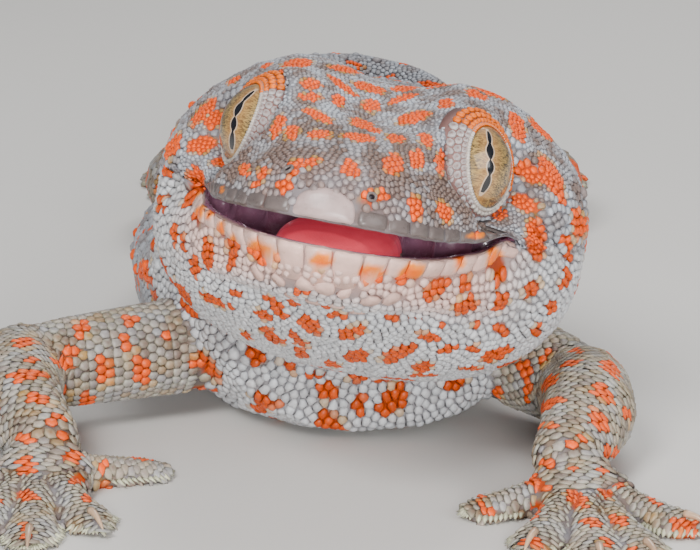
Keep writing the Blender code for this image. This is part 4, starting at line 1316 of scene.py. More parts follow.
def neighbours(places, count):
    """The nearest other places of each."""
    tree = search_tree(places)
    found = np.empty((len(places), count), int)
    for index, place in enumerate(places.tolist()):
        found[index] = [hit[1] for hit in tree.find_n(place, count + 1)][1:count + 1]
    return found


def even_out(scales, rounds):
    """Push free scales apart until they lie evenly."""
    free = scales.fixed < 0.5
    for _ in range(rounds):
        near = neighbours(scales.place, 7)
        offset = scales.place[:, None] - scales.place[near]
        distance = np.maximum(np.linalg.norm(offset, axis=-1), 1e-4)
        want = (scales.size[:, None] + scales.size[near]) * EVEN_SHARE
        push = np.clip(want - distance, 0, None) / distance
        move = (offset * push[..., None]).sum(1) * EVEN_STEP
        moved, normals = settle(scales.place[free] + move[free])
        scales.place[free] = moved
        scales.normal[free] = normals


def wanted_size(places, normals, owners):
    """The width of the scales at places on the skin, each one of the listed widths."""
    along = on_head(places)[:, 0]
    up = normals @ HEAD_UP
    head = owners == OWNER["head"]
    jaw = owners == OWNER["lower_jaw"]
    neck = owners == OWNER["neck"]
    size = np.full(len(places), 0.82)
    size[head] = 0.50
    size[head & (up < 0.45) & (along < 24.0)] = 0.86
    size[head & (along > 40.0)] = 0.66
    size[jaw] = 0.80
    size[jaw & (up > -0.55) & (along < 30.0)] = 0.90
    size[neck] = 1.04
    size[neck & (normals[:, 2] > 0.35)] = 0.72
    size[(owners == OWNER["torso"]) & (normals[:, 2] < -0.35)] = 1.25
    return size


# The small scales' widths
SIZE_STEPS = (0.50, 0.66, 0.72, 0.80, 0.82, 0.86, 0.90, 1.04, 1.25)
# The broad plates of the chin: place in the picture, width
CHIN_SHIELDS = [
    (258, 273, 1.5), (281, 281, 1.8), (301, 283, 1.8), (326, 288, 1.9), (347, 292, 1.9),
    (370, 301, 1.7), (392, 298, 1.4), (292, 296, 1.3), (314, 302, 1.4), (337, 306, 1.4),
    (358, 311, 1.3),
]


def add_chin(scales):
    """Broad pink plates behind the lower lip's middle."""
    for x, y, size in CHIN_SHIELDS:
        place, normal = picture_hit(x, y)
        lie = square_to(-HEAD_FORWARD, normal)
        scales.add(place[None], normal[None], lie[None], size * 1.25, height=0.22, shoulder=0.88,
                   fixed=True, tint=PINK * 0.92)


def lies(places, normals, owners):
    """The way scales point: back over the head and down the body."""
    _, _, heading = BODY.read(places)
    head = belongs(owners, "head", "lower_jaw")[:, None]
    return along_skin(np.where(head, -HEAD_FORWARD, heading), normals)


def add_trunk(scales):
    """The small scales of the head, body and tail."""
    sizes = wanted_size(skin_places, skin_normals, SKIN_OWNERS)
    local = on_head(skin_places)
    along, aside, above = local.T
    bare = (skin_inside > 0.2) | ~belongs(SKIN_OWNERS, *TRUNK) | lid_band(skin_places)
    bare |= on_floor(skin_places, skin_normals, 0.25)
    upper, lower = lip_edges(along)
    tall = np.where(np.abs(aside) < ROSTRAL_HALF, ROSTRAL_HEIGHT, UPPER_PLATE) - PLATE_LAP
    shallow = edge_inset(local) < LIP_DEPTH
    bare |= shallow & (along > UPPER_END) & (above > upper - 1.6) & (above < upper + tall)
    bare |= shallow & (along > LOWER_END) & (above < lower + 1.6) & (above > lower - LOWER_PLATE + PLATE_LAP)
    for place, _ in NOSTRIL_HITS:
        bare |= np.linalg.norm(skin_places - place, axis=1) < NOSTRIL_WIDTH + 0.35
    for number, size in enumerate(SIZE_STEPS):
        wanted = (np.abs(sizes - size) < 0.001) & ~bare
        places = scatter(size * 0.80, wanted, 20 + number)
        if len(places) == 0:
            continue
        places, normals = settle(places)
        owners = owners_of(places)
        head = belongs(owners, "head", "lower_jaw")
        height = np.where(head & (normals @ HEAD_UP > 0.3), 0.30, 0.40) * size
        overlap = np.where(head & (normals @ HEAD_UP > -0.3), 0.0, 0.3)
        scales.add(places, normals, lies(places, normals, owners), size, height=height, shoulder=0.74,
                   overlap=overlap, sharp=1.3)


TUBERCLE_SPACING = 3.3
# A limb's usual radius, how far its skin may lie from its line, and how pale its scales' borders are
LIMB_RADIUS = 3.0
LIMB_REACH = 9.0
LIMB_BORDER = 0.8
GAP_SPACING = 0.66
GAP_CLEARANCE = 0.62


def add_tubercles(scales):
    """Large domed scales spread over the back, the tail and the temples."""
    body = belongs(SKIN_OWNERS, "neck", "torso", "tail_base", "tail_middle")
    temple = belongs(SKIN_OWNERS, "head") & (skin_normals @ HEAD_UP < 0.6)
    temple &= on_head(skin_places)[:, 0] < 15.0
    places, normals = settle(scatter(TUBERCLE_SPACING, (body | temple) & (skin_normals[:, 2] > 0.0), 61))
    owners = owners_of(places)
    size = np.where(owners == OWNER["head"], 1.3, 1.6)
    scales.add(places, normals, lies(places, normals, owners), size, height=0.42 * size, shoulder=0.62,
               overlap=0.1, fixed=True)


def add_rows(scales, path, nodes, end, step, width, stretch, height, overlap, sharp):
    """Regular staggered rows of scales round a limb, up to a distance along it."""
    places, along = [], 0.0
    row = 0
    while along < end:
        middle, heading = path.at(along)
        across = unit(np.cross(heading, UPRIGHT))
        above = np.cross(across, heading)
        reach = SKIN_TREE.ray_cast(middle.tolist(), above.tolist())[3] or LIMB_RADIUS
        count = max(5, round(2 * pi * reach / width))
        for index in range(count):
            angle = 2 * pi * (index + 0.5 * (row % 2)) / count
            out = across * cos(angle) + above * sin(angle)
            hit = SKIN_TREE.ray_cast(middle.tolist(), out.tolist())[0]
            if hit is not None and (hit - Vector(middle)).length < LIMB_REACH:
                places.append(hit)
        along += step
        row += 1
    places, normals = settle(np.array(places))
    keep = belongs(owners_of(places), *nodes) & ~on_floor(places, normals)
    places, normals = places[keep], normals[keep]
    _, _, headings = path.read(places)
    border = LIMB_BORDER * random.uniform(0.3, 1.0, len(places))
    scales.add(places, normals, along_skin(headings, normals), width, stretch, height, shoulder=0.78,
               overlap=overlap, sharp=sharp, border=border, fixed=True)


def add_limbs(scales):
    """Rows of overlapping scales along every limb, then over every palm."""
    for limb, path in LIMBS.items():
        upper, lower, foot = LIMB_NODES[limb]
        add_rows(scales, path, (upper,), path.length, 0.84, 1.0, 0.95, 0.32, 0.45, 1.0)
        ends = np.mean(DIGIT_TIPS[limb], axis=0)
        whole = Path(LIMB_LINES[limb] + [(*PALMS[limb], 1.9), (*ends, 1.0)])
        reach = whole.length - np.linalg.norm(ends - PALMS[limb]) + 3.0
        add_rows(scales, whole, (lower, foot), reach, 0.60, 1.25, 0.52, 0.28, 0.6, 1.6)


# A digit's shape on the floor: share of its length, half width, height
DIGIT_SECTIONS = [
    (0.0, 1.9, 3.4), (0.25, 1.65, 2.7), (0.45, 1.8, 2.2), (0.66, 2.5, 1.8), (0.82, 2.3, 1.5),
    (0.93, 1.6, 1.2), (1.0, 0.8, 0.9),
]
DIGIT_ROW = 0.62
SHINGLE = 1.18
PAD_RADIUS = 2.2
# Where the shingles end down a digit's side, and how far they may lie from its form
DIGIT_FOOT = 0.42
DIGIT_SLACK = 1.8
FRINGE_STEP = 0.52
FRINGE_INSET = 0.03
FRINGE_HEIGHT = 0.75
FRINGE_TINT = np.array((0.50, 0.49, 0.34))


def add_digits(scales):
    """Rows of broad shingles across every digit."""
    for digit in DIGITS:
        for row, reach in enumerate(np.arange(0.9, digit.length + 0.1, DIGIT_ROW)):
            wide = from_table(DIGIT_SECTIONS, reach / digit.length)
            tall = from_table(DIGIT_SECTIONS, reach / digit.length, 2)
            middle = digit.root + digit.ahead * reach
            count = max(3, round(pi * 0.6 * (wide + tall) / SHINGLE))
            for index in range(count):
                angle = pi * (index + 0.35 + 0.5 * (row % 2)) / (count + 0.2)
                if not DIGIT_FOOT < angle < pi - DIGIT_FOOT:
                    continue
                out = digit.aside * cos(angle) / wide + UPRIGHT * sin(angle) / tall
                place = middle + digit.aside * wide * cos(angle) + UPRIGHT * tall * sin(angle)
                spot, _ = settle(place[None])
                if np.linalg.norm(spot[0] - place) > DIGIT_SLACK:
                    continue
                normal = unit(out)
                lie = square_to(digit.ahead, normal)
                scales.add(spot, normal[None], lie[None], SHINGLE, stretch=0.58, height=0.20, shoulder=0.80,
                           overlap=0.5, sharp=1.3, border=random.uniform(0.3, 0.8), fixed=True)


def fringe_ways(length):
    """Round a digit's pad: how far along each leaf stands, and its turn from straight ahead."""
    straight = np.arange(0.30 * length, length - PAD_RADIUS, FRINGE_STEP)
    fan = np.arange(0.0, pi / 2, FRINGE_STEP / PAD_RADIUS)
    ways = [(length - PAD_RADIUS, 0.0)]
    for side in (1, -1):
        ways += [(length - PAD_RADIUS, side * turn) for turn in fan[1:]]
        ways += [(reach, side * pi / 2) for reach in straight]
    return ways


LEAF = np.array([(0, 0, 0), (0.7, -0.33, 0), (1.5, 0, -0.35), (0.7, 0.33, 0), (0.6, 0, 0.22), (0.6, 0, -0.2)])
# Painted shade and light on each leaf's corners: darkest underneath and at its root, lightest at its tip.
LEAF_PAINTED_SHADING = (0.7, 0.8, 1.1, 0.8, 1.0, 0.6)
LEAF_FACES = np.array([
    (0, 1, 4), (1, 2, 4), (2, 3, 4), (3, 0, 4), (1, 0, 5), (2, 1, 5), (3, 2, 5), (0, 3, 5),
])


def build_fringe():
    """Pointed pale leaves round the pad of every digit."""
    spots, colours, marks = [], [], []
    for digit in DIGITS:
        for reach, turn in fringe_ways(digit.length):
            out = digit.ahead * cos(turn) + digit.aside * sin(turn)
            start = digit.root + digit.ahead * reach + UPRIGHT * FRINGE_HEIGHT
            hit = SKIN_TREE.ray_cast((start + out * 3.4).tolist(), (-out).tolist())[0]
            if hit is None or (np.array(hit) - start) @ out < 0.4:
                continue
            way = unit(out + digit.ahead * 0.35 * abs(sin(turn)))
            axes = np.array((way, np.cross(UPRIGHT, way), UPRIGHT))
            leaf = np.array(hit) - way * 0.55 + LEAF * random.uniform(0.9, 1.1) @ axes
            spots.append(within_box(leaf, FRINGE_INSET))
            tone = FRINGE_TINT * random.uniform(0.75, 1.15)
            colours.append(np.outer(LEAF_PAINTED_SHADING, tone))
            along, angle, _ = LIMBS[digit.limb].read(leaf[:1])
            marks.append((along[0] / LIMB_CHART, angle[0] / (2 * pi) + 0.5) + LEAF[:, :2] * MARK_SIZE)
    count = len(spots)
    faces = (np.arange(count)[:, None, None] * len(LEAF) + LEAF_FACES).reshape(-1, 3)
    fringe = new_mesh("digit_fringe", np.concatenate(spots), [faces],
                      np.concatenate(colours), np.concatenate(marks))
    fringe.data.materials.append(SCALE_FINISH)
    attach(fringe, "root")


# Rows round the eye: distance from the edge, size of the scales
LID_ROWS = [(0.14, 0.34), (0.55, 0.62), (1.20, 0.78), (1.95, 0.80)]
CREAM = (0.50, 0.45, 0.40)
AMBER = (0.70, 0.13, 0.000)
UMBER = (0.16, 0.085, 0.075)
LID_STEPS = 120
# The lid's shell: distance from its edge, lift
LID_PROFILE = [
    (-0.02, 0.02), (0.02, 0.07), (0.08, 0.08), (0.5, 0.0), (1.2, 0.0), (2.0, 0.0), (LID_WIDTH + 0.8, 0.0),
]


def lid_band(places):
    """Whether places lie in the ring of the lids' own scales."""
    band = np.zeros(len(places), bool)
    for side, middle in EYES.items():
        gap, _ = lid_gap(side, places)
        band |= (gap < LID_WIDTH - 0.1) & (np.linalg.norm(places - middle, axis=1) < lid_height(gap) + 0.15)
    return band


def build_lids():
    """A smooth lid round each eye, from its thin edge back under the skin's scales."""
    places, colours, walls = [], [], []
    for side in (1, -1):
        start = sum(len(part) for part in places)
        rings = []
        for turn in np.arange(LID_STEPS) * 2 * pi / LID_STEPS:
            outer = []
            for gap, lift in LID_PROFILE:
                place, way = lid_place(side, turn, gap)
                outer.append(place + way * lift)
            back, way = lid_place(side, turn, LID_WIDTH + 0.8)
            under, thin = lid_place(side, turn, 0.1)
            rings.append(outer + [back - way * 1.2, under - thin * 0.2])
        ring = np.array(rings)
        places.append(ring.reshape(-1, 3))
        tone = np.tile(np.array(CREAM), (*ring.shape[:2], 1))
        tone[:, 3:] = np.array(UMBER) * 1.3
        colours.append(tone.reshape(-1, 3))
        quads = ring_walls(*ring.shape[:2]) + start
        walls.append(quads if side > 0 else quads[:, ::-1])
    places = np.concatenate(places)
    lids = new_mesh("lids", places, [np.concatenate(walls)],
                    np.concatenate(colours), np.full((len(places), 2), 0.5))
    lids.data.materials.append(PLATE_FINISH)
    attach(lids, "root")


def add_lids(scales):
    """Rings of scales round each eye: a pale rim, brown in front, an orange fringe above and behind."""
    for side in (1, -1):
        look, _, _ = lid_axes(side)
        for row, (gap, size) in enumerate(LID_ROWS):
            count = int(2 * pi * (LID_REACH + 0.2) * 0.80 / size)
            for index in range(count):
                turn = 2 * pi * (index + 0.5 * (row % 2)) / count
                place, way = lid_place(side, turn, gap)
                lie = square_to(square_to(way, look), way)
                degrees = np.degrees(turn)
                tint, border, overlap, sharp, stretch, height = NO_TINT, 0.0, 0.1, 1.0, 1.0, 0.24
                if row == 0:
                    tint, height = (AMBER if 55 < degrees < 150 else CREAM), 0.12
                elif 55 < degrees < 128:
                    tint, overlap = AMBER, 0.2
                elif 128 <= degrees < 215 and row < 3:
                    tint, overlap, sharp, stretch, height = AMBER, 0.9, 2.5, 1.1, 0.36
                elif degrees <= 55 or degrees > 305:
                    tint, border = UMBER, 1.2
                elif row == 1:
                    tint = CREAM
                scales.add(place[None], way[None], lie[None], size, stretch, height, shoulder=0.78,
                           overlap=overlap, sharp=sharp, border=border, fixed=True, tint=tint)


def fill_gaps(scales):
    """Scales on the parts of the limbs that the rows leave bare."""
    limbs = ~belongs(SKIN_OWNERS, *TRUNK) & ~on_floor(skin_places, skin_normals, slope=-0.7)
    places, normals = settle(scatter(GAP_SPACING, limbs, 41))
    tree = search_tree(np.concatenate(scales.rows["place"]))
    clear = np.array([tree.find(place)[2] > GAP_CLEARANCE for place in places.tolist()])
    places, normals = places[clear], normals[clear]
    ways = np.empty_like(places)
    nearest = np.full(len(places), 1e9)
    for path in LIMBS.values():
        _, _, heading = path.read(places)
        gap = np.min(((places[:, None] - path.places[None, ::8]) ** 2).sum(-1), axis=1)
        mine = gap < nearest
        nearest[mine] = gap[mine]
        ways[mine] = heading[mine]
    scales.add(places, normals, along_skin(ways, normals), 0.95, stretch=0.95, height=0.26, shoulder=0.78,
               overlap=0.3)


def thin_out(scales):
    """Drop scales that lie too close to another."""
    near = neighbours(scales.place, 6)
    distance = np.linalg.norm(scales.place[:, None] - scales.place[near], axis=-1)
    limit = (scales.size[:, None] * np.minimum(scales.stretch[:, None], 1.0) + scales.size[near]) * 0.26
    broad = (scales.fixed > 0.5) & (scales.size > 1.25)
    limit = limit + 0.38 * broad[near]
    order = random.permutation(len(scales.place))
    rank = np.empty(len(order))
    rank[order] = np.arange(len(order))
    rank += scales.fixed * 1e6
    rank[scales.fixed > 0.5] = 2e6 - np.flatnonzero(scales.fixed > 0.5)
    crowded = (distance < limit) & (rank[near] > rank[:, None])
    keep = ~crowded.any(1)
    for name in scales.fields:
        setattr(scales, name, getattr(scales, name)[keep])


SIDES = 8
GROOVE = 0.96
ROOT_DEPTH = 0.12


def scale_forms(scales):
    """The outline of each scale among its neighbours, and its domed form."""
    near = neighbours(scales.place, 12)
    lie = scales.lie
    across = np.cross(scales.normal, lie)
    offset = scales.place[near] - scales.place[:, None]
    lengthwise = (offset * lie[:, None]).sum(-1) / scales.stretch[:, None]
    flat = np.stack((lengthwise, (offset * across[:, None]).sum(-1)), -1)
    square = np.maximum((flat ** 2).sum(-1), 1e-6)
    weight = scales.size[:, None] / (scales.size[:, None] + scales.size[near])
    angles = np.arange(SIDES) * 2 * pi / SIDES + random.uniform(-0.12, 0.12, (len(near), 1))
    ways = np.stack((np.cos(angles), np.sin(angles)), -1)
    facing = np.einsum("nmc,nkc->nmk", flat, ways)
    reach = np.where(facing > 1e-4, (weight * square)[..., None] / np.maximum(facing, 1e-4), 9.0).min(1)
    reach = np.minimum(reach, scales.size[:, None] * 0.80) * GROOVE
    ahead = np.maximum(ways[..., 0], 0) ** scales.sharp[:, None] * scales.overlap[:, None]
    height = scales.height[:, None]
    rim = reach * (1 + ahead)
    rim_height = -ROOT_DEPTH + ahead * height * 1.6
    shoulder = reach * scales.shoulder[:, None] * (1 + ahead)
    shoulder_height = height * (0.72 + 0.55 * ways[..., 0] * scales.overlap[:, None])
    rings = []
    for out, rise in ((rim, rim_height), (shoulder, shoulder_height)):
        rings.append(
            scales.place[:, None]
            + lie[:, None] * (ways[..., 0] * out * scales.stretch[:, None])[..., None]
            + across[:, None] * (ways[..., 1] * out)[..., None]
            + scales.normal[:, None] * rise[..., None]
        )
    crown = scales.place + scales.normal * scales.height[:, None]
    marks = np.concatenate((ways, ways * 0.7, np.zeros((len(near), 1, 2))), 1)
    return np.concatenate((rings[0], rings[1], crown[:, None]), 1), marks


def charts(scales):
    """Where each scale's root lies on a flat unwrap of the skin."""
    along, angle, _ = BODY.read(scales.place)
    chart = np.stack((along / BODY.length, angle / (2 * pi) + 0.5), -1)
    local = on_head(scales.place)
    owners = scales.owner.astype(int)
    head = belongs(owners, "head", "lower_jaw")
    turn = np.arctan2(local[:, 2] + 2.0, local[:, 1]) / (2 * pi) + 0.5
    chart[head] = np.stack((local[:, 0] / HEAD_CHART + 0.04, turn), -1)[head]
    for limb, path in LIMBS.items():
        mine = belongs(owners, *LIMB_NODES[limb])
        along, angle, _ = path.read(scales.place[mine])
        chart[mine] = np.stack((along / LIMB_CHART, angle / (2 * pi) + 0.5), -1)
    return np.clip(chart, 0.003, 0.997)


def dress(scales, groups, finish):
    """Make the coat's pieces, one for each group of nodes."""
    forms, marks = scale_forms(scales)
    forms = within_box(forms)
    chart = charts(scales)
    owners = scales.owner.astype(int)
    core = markings(scales.place, scales.normal, owners, random.uniform(-0.05, 0.05, len(owners)))
    core = np.where(scales.tint[:, :1] >= 0, scales.tint, core)
    core *= random.uniform(0.84, 1.14, (len(owners), 1))
    per_scale = forms.shape[1]
    colours = np.repeat(core[:, None], per_scale, 1)
    warmth = smooth(core[:, 0] - 3.0 * core[:, 1], 0.0, 0.15)
    border = (0.7 * scales.border * (1 - 0.85 * warmth))[:, None, None]
    rim, shoulder = slice(0, SIDES), slice(SIDES, 2 * SIDES)
    edge = np.where(belongs(owners, *TRUNK)[:, None], WHITE, EDGE_OLIVE)[:, None]
    # Painted shade in the grooves between scales: RIM_SHADE darkens each rim and 0.95 darkens the shoulder a
    # little; the pale borders mixed in after are the scales' own colour.
    colours[:, rim] *= RIM_SHADE
    colours[:, shoulder] = colours[:, shoulder] * (0.95 - 0.6 * border) + edge * 0.6 * border
    colours[:, rim] = mix(colours[:, rim], edge * 0.9, border)
    uv = chart[:, None] + marks * MARK_SIZE
    ring = np.arange(SIDES)
    after = (ring + 1) % SIDES
    for name, chosen in groups:
        index = np.flatnonzero(chosen)
        if len(index) == 0:
            continue
        base = np.arange(len(index))[:, None] * per_scale
        inner = base + SIDES
        crown = inner + SIDES + 0 * ring
        band = np.stack((base + ring, base + after, inner + after, inner + ring), -1).reshape(-1, 4)
        cap = np.stack((inner + ring, inner + after, crown), -1).reshape(-1, 3)
        floor = (base + ring[::-1]).reshape(-1, SIDES)
        piece = new_mesh(name, forms[index].reshape(-1, 3), [band, cap, floor],
                         colours[index].reshape(-1, 3), uv[index].reshape(-1, 2))
        piece.data.materials.append(finish)
        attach(piece, "root")


def coat_groups(scales):
    """The coat's pieces: a name and the scales of each."""
    owners = scales.owner.astype(int)
    left = on_head(scales.place)[:, 1] > 0
    head = belongs(owners, "head")
    jaw = belongs(owners, "lower_jaw")
    torso = belongs(owners, "torso")
    crown = head & (scales.normal @ HEAD_UP > 0.45)
    front = scales.place[:, 1] < -2.0
    groups = [
        ("crown_scales_left", crown & left), ("crown_scales_right", crown & ~left),
        ("face_scales_left", head & ~crown & left), ("face_scales_right", head & ~crown & ~left),
        ("jaw_scales_left", jaw & left), ("jaw_scales_right", jaw & ~left),
        ("neck_scales", belongs(owners, "neck")),
        ("shoulder_scales", torso & front), ("back_scales", torso & ~front),
    ]
    groups += [(name + "_scales", belongs(owners, name)) for name in ("tail_base", "tail_middle", "tail_tip")]
    groups += [(limb + "_scales", belongs(owners, *nodes)) for limb, nodes in LIMB_NODES.items()]
    return groups


scales = Scales()
add_chin(scales)
add_tubercles(scales)
add_trunk(scales)
add_lids(scales)
add_digits(scales)
add_limbs(scales)
fill_gaps(scales)
scales.gather()
thin_out(scales)
even_out(scales, 3)
dress(scales, coat_groups(scales), SCALE_FINISH)
build_lips()
build_lids()
build_fringe()
set_places(skin.data, fit(skin_places))
skin.data.update()
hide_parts(*FLESH)
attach(skin, "root")


# Eyes

# Ends of each pupil in the picture: its top, then its foot
PUPIL_ENDS = {1: ((486.5, 130), (483.0, 191)), -1: ((253.0, 91), (231.5, 146))}
PUPIL_LENGTH = 5.9
# The width that an eye's chart covers
EYE_CHART = 10.0
# Lobes of the slit: place along it from its foot to its top, half length, half width
PUPIL_LOBES = [(0.10, 0.16, 0.30), (0.36, 0.12, 0.34), (0.62, 0.14, 0.36), (0.86, 0.14, 0.18)]


def eye_finish():
    """A golden iris with a lobed upright slit, under a clear wet coat."""
    finish = Finish("eye_finish", Coat_Weight=1.0, Coat_Roughness=0.02)
    chart = finish.node("ShaderNodeUVMap", {"uv_map": "Eye"}, output="UV")
    across = finish.node("ShaderNodeSeparateXYZ", None, {"Vector": chart}, "X")
    upward = finish.node("ShaderNodeSeparateXYZ", None, {"Vector": chart}, "Y")
    wide = (across - 0.5) * EYE_CHART
    share = (upward - 0.5) * EYE_CHART * (1.0 / PUPIL_LENGTH) + 0.5
    slit = finish.node("ShaderNodeValue")
    slit.socket.default_value = 0.05
    for place, length, width in PUPIL_LOBES:
        away = (share - place) * (1.0 / length)
        slit = slit + (1.0 - away * away).at_least(0.0) * width
    inside = (0.5 - (share - 0.48).size()) * 12.0
    bend = finish.node("ShaderNodeMath", {"operation": "SINE"}, {0: share * 7.5}) * 0.12
    depth = slit - (wide - bend).size()
    pupil = depth.over(0.0) * inside.over(0.0)
    rim = (depth + 0.13).over(0.0) * (inside + 0.6).over(0.0)
    warm = (1.0 - (wide.size() - 0.3) * 0.8).at_least(0.0)
    lines = finish.node("ShaderNodeMapping", None, {"Vector": chart, "Scale": (0.55, 1.9, 1.0)}, "Vector")
    settings = {"Vector": lines, "Scale": 22.0, "Detail": 4.0, "Roughness": 0.7, "Distortion": 1.8}
    radial = finish.node("ShaderNodeTexNoise", None, settings, "Fac")
    veins = finish.node("ShaderNodeMapRange", None, {"Value": radial, 1: 0.45, 2: 0.55})
    iris = finish.blend(veins, (0.050, 0.028, 0.008, 1), (0.34, 0.215, 0.060, 1))
    iris = finish.blend(warm * 0.45, iris, (0.45, 0.20, 0.06, 1))
    iris = finish.blend(rim * 0.6, iris, (0.55, 0.45, 0.36, 1))
    finish.feed("Base Color", finish.blend(pupil, iris, (0.003, 0.003, 0.005, 1)))
    finish.feed("Roughness", 0.42 - pupil * 0.2)
    return finish.material


def on_eye(side, x, y):
    """Where a ray of the picture meets an eyeball."""
    ray = picture_ray(x, y)
    offset = EYES[side] - CAMERA_PLACE
    nearest = ray * (offset @ ray) - offset
    depth = max(EYE_RADIUS ** 2 - nearest @ nearest, 0.0) ** 0.5
    return unit(nearest - ray * depth) * EYE_RADIUS


def build_eye(name, side, finish):
    """An eyeball with a chart of its front, turned to look as in the picture."""
    mesh = bmesh.new()
    bmesh.ops.create_uvsphere(mesh, u_segments=96, v_segments=64, radius=1.0)
    places = np.array([corner.co[:] for corner in mesh.verts])
    corners = [[corner.index for corner in face.verts] for face in mesh.faces]
    faces = [np.array([row for row in corners if len(row) == sides]) for sides in (4, 3)]
    mesh.free()
    top, foot = (on_eye(side, *end) for end in PUPIL_ENDS[side])
    look = unit(top + foot)
    upward = square_to(top - foot, look)
    across = np.cross(upward, look)
    turned = places @ np.array((across, upward, look))
    thing = new_mesh(name, EYES[side] + turned * EYE_RADIUS, faces)
    add_chart(thing.data, "Eye", places[:, :2] * EYE_RADIUS / EYE_CHART + 0.5)
    thing.data.materials.append(finish)
    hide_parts("eye_left" if side > 0 else "eye_right")
    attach(thing, "root")


EYE_FINISH = eye_finish()
build_eye("eyeball_left", 1, EYE_FINISH)
build_eye("eyeball_right", -1, EYE_FINISH)


# Claws and nostrils

CLAW_LENGTH = 3.1
CLAW_RADIUS = 0.36
CLAW_END = 1.95
CLAW_STEPS = 9
CLAW_SIDES = 10
NOSTRIL_STEPS = 24
NOSTRIL_SIDES = 8
NOSTRIL_FLAT = 0.8


def tube(centres, radii, sides):
    """A closed tube through centres, tapering by its radii."""
    centres = np.asarray(centres)
    headings = unit(np.gradient(centres, axis=0))
    side = unit(np.cross(headings, UPRIGHT + np.array((0.001, 0.0, 0.0))))
    top = np.cross(side, headings)
    angles = np.arange(sides) * 2 * pi / sides
    ring = side[:, None] * np.cos(angles)[None, :, None] + top[:, None] * np.sin(angles)[None, :, None]
    spots = (centres[:, None] + ring * np.asarray(radii)[:, None, None]).reshape(-1, 3)
    base = np.arange(len(centres) - 1)[:, None] * sides
    turn = np.arange(sides)
    after = (turn + 1) % sides
    ahead = base + sides
    walls = np.stack((base + turn, ahead + turn, ahead + after, base + after), -1).reshape(-1, 4)
    last = (len(centres) - 1) * sides
    ends = np.array([turn, last + turn[::-1]])
    return spots, walls, ends


def gather(parts):
    """Join tubes into one set of places and faces."""
    start, places, walls, ends = 0, [], [], []
    for spots, wall, end in parts:
        places.append(spots)
        walls.append(wall + start)
        ends.append(end + start)
        start += len(spots)
    return np.concatenate(places), [np.concatenate(walls), np.concatenate(ends)]


def build_claws():
    """A small curved claw on every digit but the first."""
    parts = []
    share = np.linspace(0, 1, CLAW_STEPS)
    rise = 1.95 + 0.15 * share - 1.2 * share ** 2.2
    radii = CLAW_RADIUS * (1 - share) ** 0.6 + 0.04
    for digit in DIGITS:
        if digit.number == 0:
            continue
        reach = CLAW_END - CLAW_LENGTH * (1 - share)
        centres = digit.tip + digit.ahead * reach[:, None] + UPRIGHT * rise[:, None]
        parts.append(tube(centres, radii, CLAW_SIDES))
    places, faces = gather(parts)
    claws = new_mesh("claws", within_box(places, FRINGE_INSET), faces)
    finish = Finish("claw_finish", Roughness=0.28, Coat_Weight=0.3)
    tone = finish.noise(420.0)
    finish.feed("Base Color", finish.blend(tone, (0.62, 0.42, 0.26, 1), (0.20, 0.12, 0.08, 1)))
    claws.data.materials.append(finish.material)
    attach(claws, "root")


def build_nostrils():
    """A ring on each side of the snout round a shallow pit painted near-black: painted shade for the
    nostril's opening.
    """
    rings, pits, walls, cones = [], [], [], []
    angles = np.linspace(0, 2 * pi, NOSTRIL_STEPS + 1)[:-1]
    step = np.arange(NOSTRIL_STEPS)
    after = (step + 1) % NOSTRIL_STEPS
    for number, (place, normal) in enumerate(NOSTRIL_HITS):
        across = square_to(RIGHT, normal)
        upward = np.cross(normal, across)
        circle = np.cos(angles)[:, None] * across + np.sin(angles)[:, None] * upward * NOSTRIL_FLAT
        centres = place + circle * (NOSTRIL_WIDTH + 0.18) + normal * 0.12
        loops = []
        for side in range(NOSTRIL_SIDES):
            turn = 2 * pi * side / NOSTRIL_SIDES
            loops.append(centres + unit(circle) * 0.15 * cos(turn) + normal * 0.18 * sin(turn))
        rings.append(np.stack(loops, 1).reshape(-1, 3))
        first = number * NOSTRIL_STEPS * NOSTRIL_SIDES
        walls.append(ring_walls(NOSTRIL_STEPS, NOSTRIL_SIDES)[:, ::-1] + first)
        rim = place + normal * 0.16 + circle * (NOSTRIL_WIDTH + 0.1)
        middle = place + normal * 0.04
        pits.append(np.concatenate((rim, middle[None], (middle - unit(rim.mean(0) - middle) * 0.1)[None])))
        start = number * (NOSTRIL_STEPS + 2)
        front = start + NOSTRIL_STEPS + 0 * step
        cones.append(np.stack((start + step, start + after, front), -1))
        cones.append(np.stack((start + after, start + step, front + 1), -1))
    spots = np.concatenate(rings)
    ring = new_mesh("nostril_rings", spots, [np.concatenate(walls)], np.tile(LABIAL * 1.1, (len(spots), 1)),
                    np.full((len(spots), 2), 0.5))
    ring.data.materials.append(PLATE_FINISH)
    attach(ring, "root")
    # The pit is a shallow cone painted near-black, as painted shade where the nostril opens.
    pit = new_mesh("nostril_pits", np.concatenate(pits), [np.concatenate(cones)])
    finish = Finish("nostril_painted_shade", Base_Color=(0.012, 0.006, 0.010, 1), Roughness=0.4)
    pit.data.materials.append(finish.material)
    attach(pit, "root")


build_claws()
build_nostrils()


# Tongue

TONGUE_VOXEL = 0.25
TONGUE_SWELL = 0.7
TONGUE_MOVE = (1.0, 0.5)


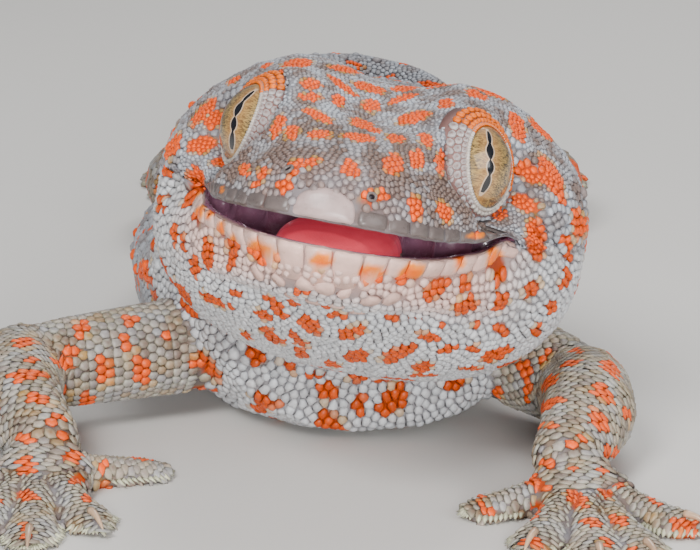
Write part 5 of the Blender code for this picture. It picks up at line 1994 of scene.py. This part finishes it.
def build_tongue():
    """The tongue, rounded from its solid, with a faint painted glow."""
    made, places, edges = even_mesh("tongue_flesh", ("tongue",), 0.0, TONGUE_VOXEL)
    places = smooth_places(places, edges, 12)
    normals = vertex_normals(made, places)
    places = places + normals * TONGUE_SWELL + HEAD_FORWARD * TONGUE_MOVE[0] + HEAD_UP * TONGUE_MOVE[1]
    vertex_normals(made, places)
    made.shade_smooth()
    thing = stand("tongue_flesh", made)
    # The emission is a painted glow that brightens the tongue in the mouth's shade.
    finish = Finish("tongue_colour_and_painted_glow", Coat_Weight=0.7, Coat_Roughness=0.12,
                    Emission_Color=(0.9, 0.06, 0.10, 1), Emission_Strength=0.42)
    tone = finish.noise(900.0, 3.0, 0.6)
    finish.feed("Base Color", finish.blend(tone, (0.98, 0.05, 0.09, 1), (0.98, 0.13, 0.17, 1)))
    finish.bump(finish.noise(5200.0, 2.0, 0.5), 0.05)
    made.materials.append(finish.material)
    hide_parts("tongue")
    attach(thing, "root")


build_tongue()


# The floor, lights and camera

FLOOR_HALF = 3.0
SKY_COLOUR = (0.86, 0.92, 1.0, 1)
SKY_STRENGTH = 0.22
# Lamps: name, place in metres, width, power
LAMPS = [
    ("key_light", (-0.14, -0.42, 0.34), 0.16, 2.5),
    ("fill_light", (0.34, -0.34, 0.20), 0.26, 1.0),
    ("front_light", (0.03, -0.52, 0.08), 0.10, 2.4),
    ("rim_light", (0.10, 0.25, 0.45), 0.30, 2.0),
]


def build_stage():
    """A plain pale floor and soft studio light."""
    mesh = bmesh.new()
    bmesh.ops.create_grid(mesh, x_segments=1, y_segments=1, size=FLOOR_HALF)
    data = bpy.data.meshes.new("floor")
    mesh.to_mesh(data)
    mesh.free()
    floor = stand("floor", data)
    finish = Finish("floor_finish", Base_Color=(0.62, 0.60, 0.57, 1), Roughness=0.8)
    data.materials.append(finish.material)
    world = bpy.data.worlds.new("studio")
    world.use_nodes = True
    world.node_tree.nodes["Background"].inputs[0].default_value = SKY_COLOUR
    world.node_tree.nodes["Background"].inputs[1].default_value = SKY_STRENGTH
    bpy.context.scene.world = world
    for name, place, size, power in LAMPS:
        lamp = bpy.data.lights.new(name, "AREA")
        lamp.size = size
        lamp.energy = power
        thing = stand(name, lamp)
        thing.location = place
        thing.rotation_euler = (Vector(CAMERA_AIM * MM) - Vector(place)).to_track_quat("-Z", "Y").to_euler()


def build_camera():
    """The camera at the picture's angle."""
    data = bpy.data.cameras.new("camera")
    data.sensor_width = SENSOR_WIDTH
    data.lens = SENSOR_WIDTH * CAMERA_DISTANCE / VIEW_WIDTH
    data.clip_start = 0.01
    thing = stand("camera", data)
    thing.location = CAMERA_PLACE * MM
    thing.rotation_euler = (pi / 2 - CAMERA_RISE, 0.0, 0.0)
    bpy.context.scene.camera = thing


build_stage()
build_camera()
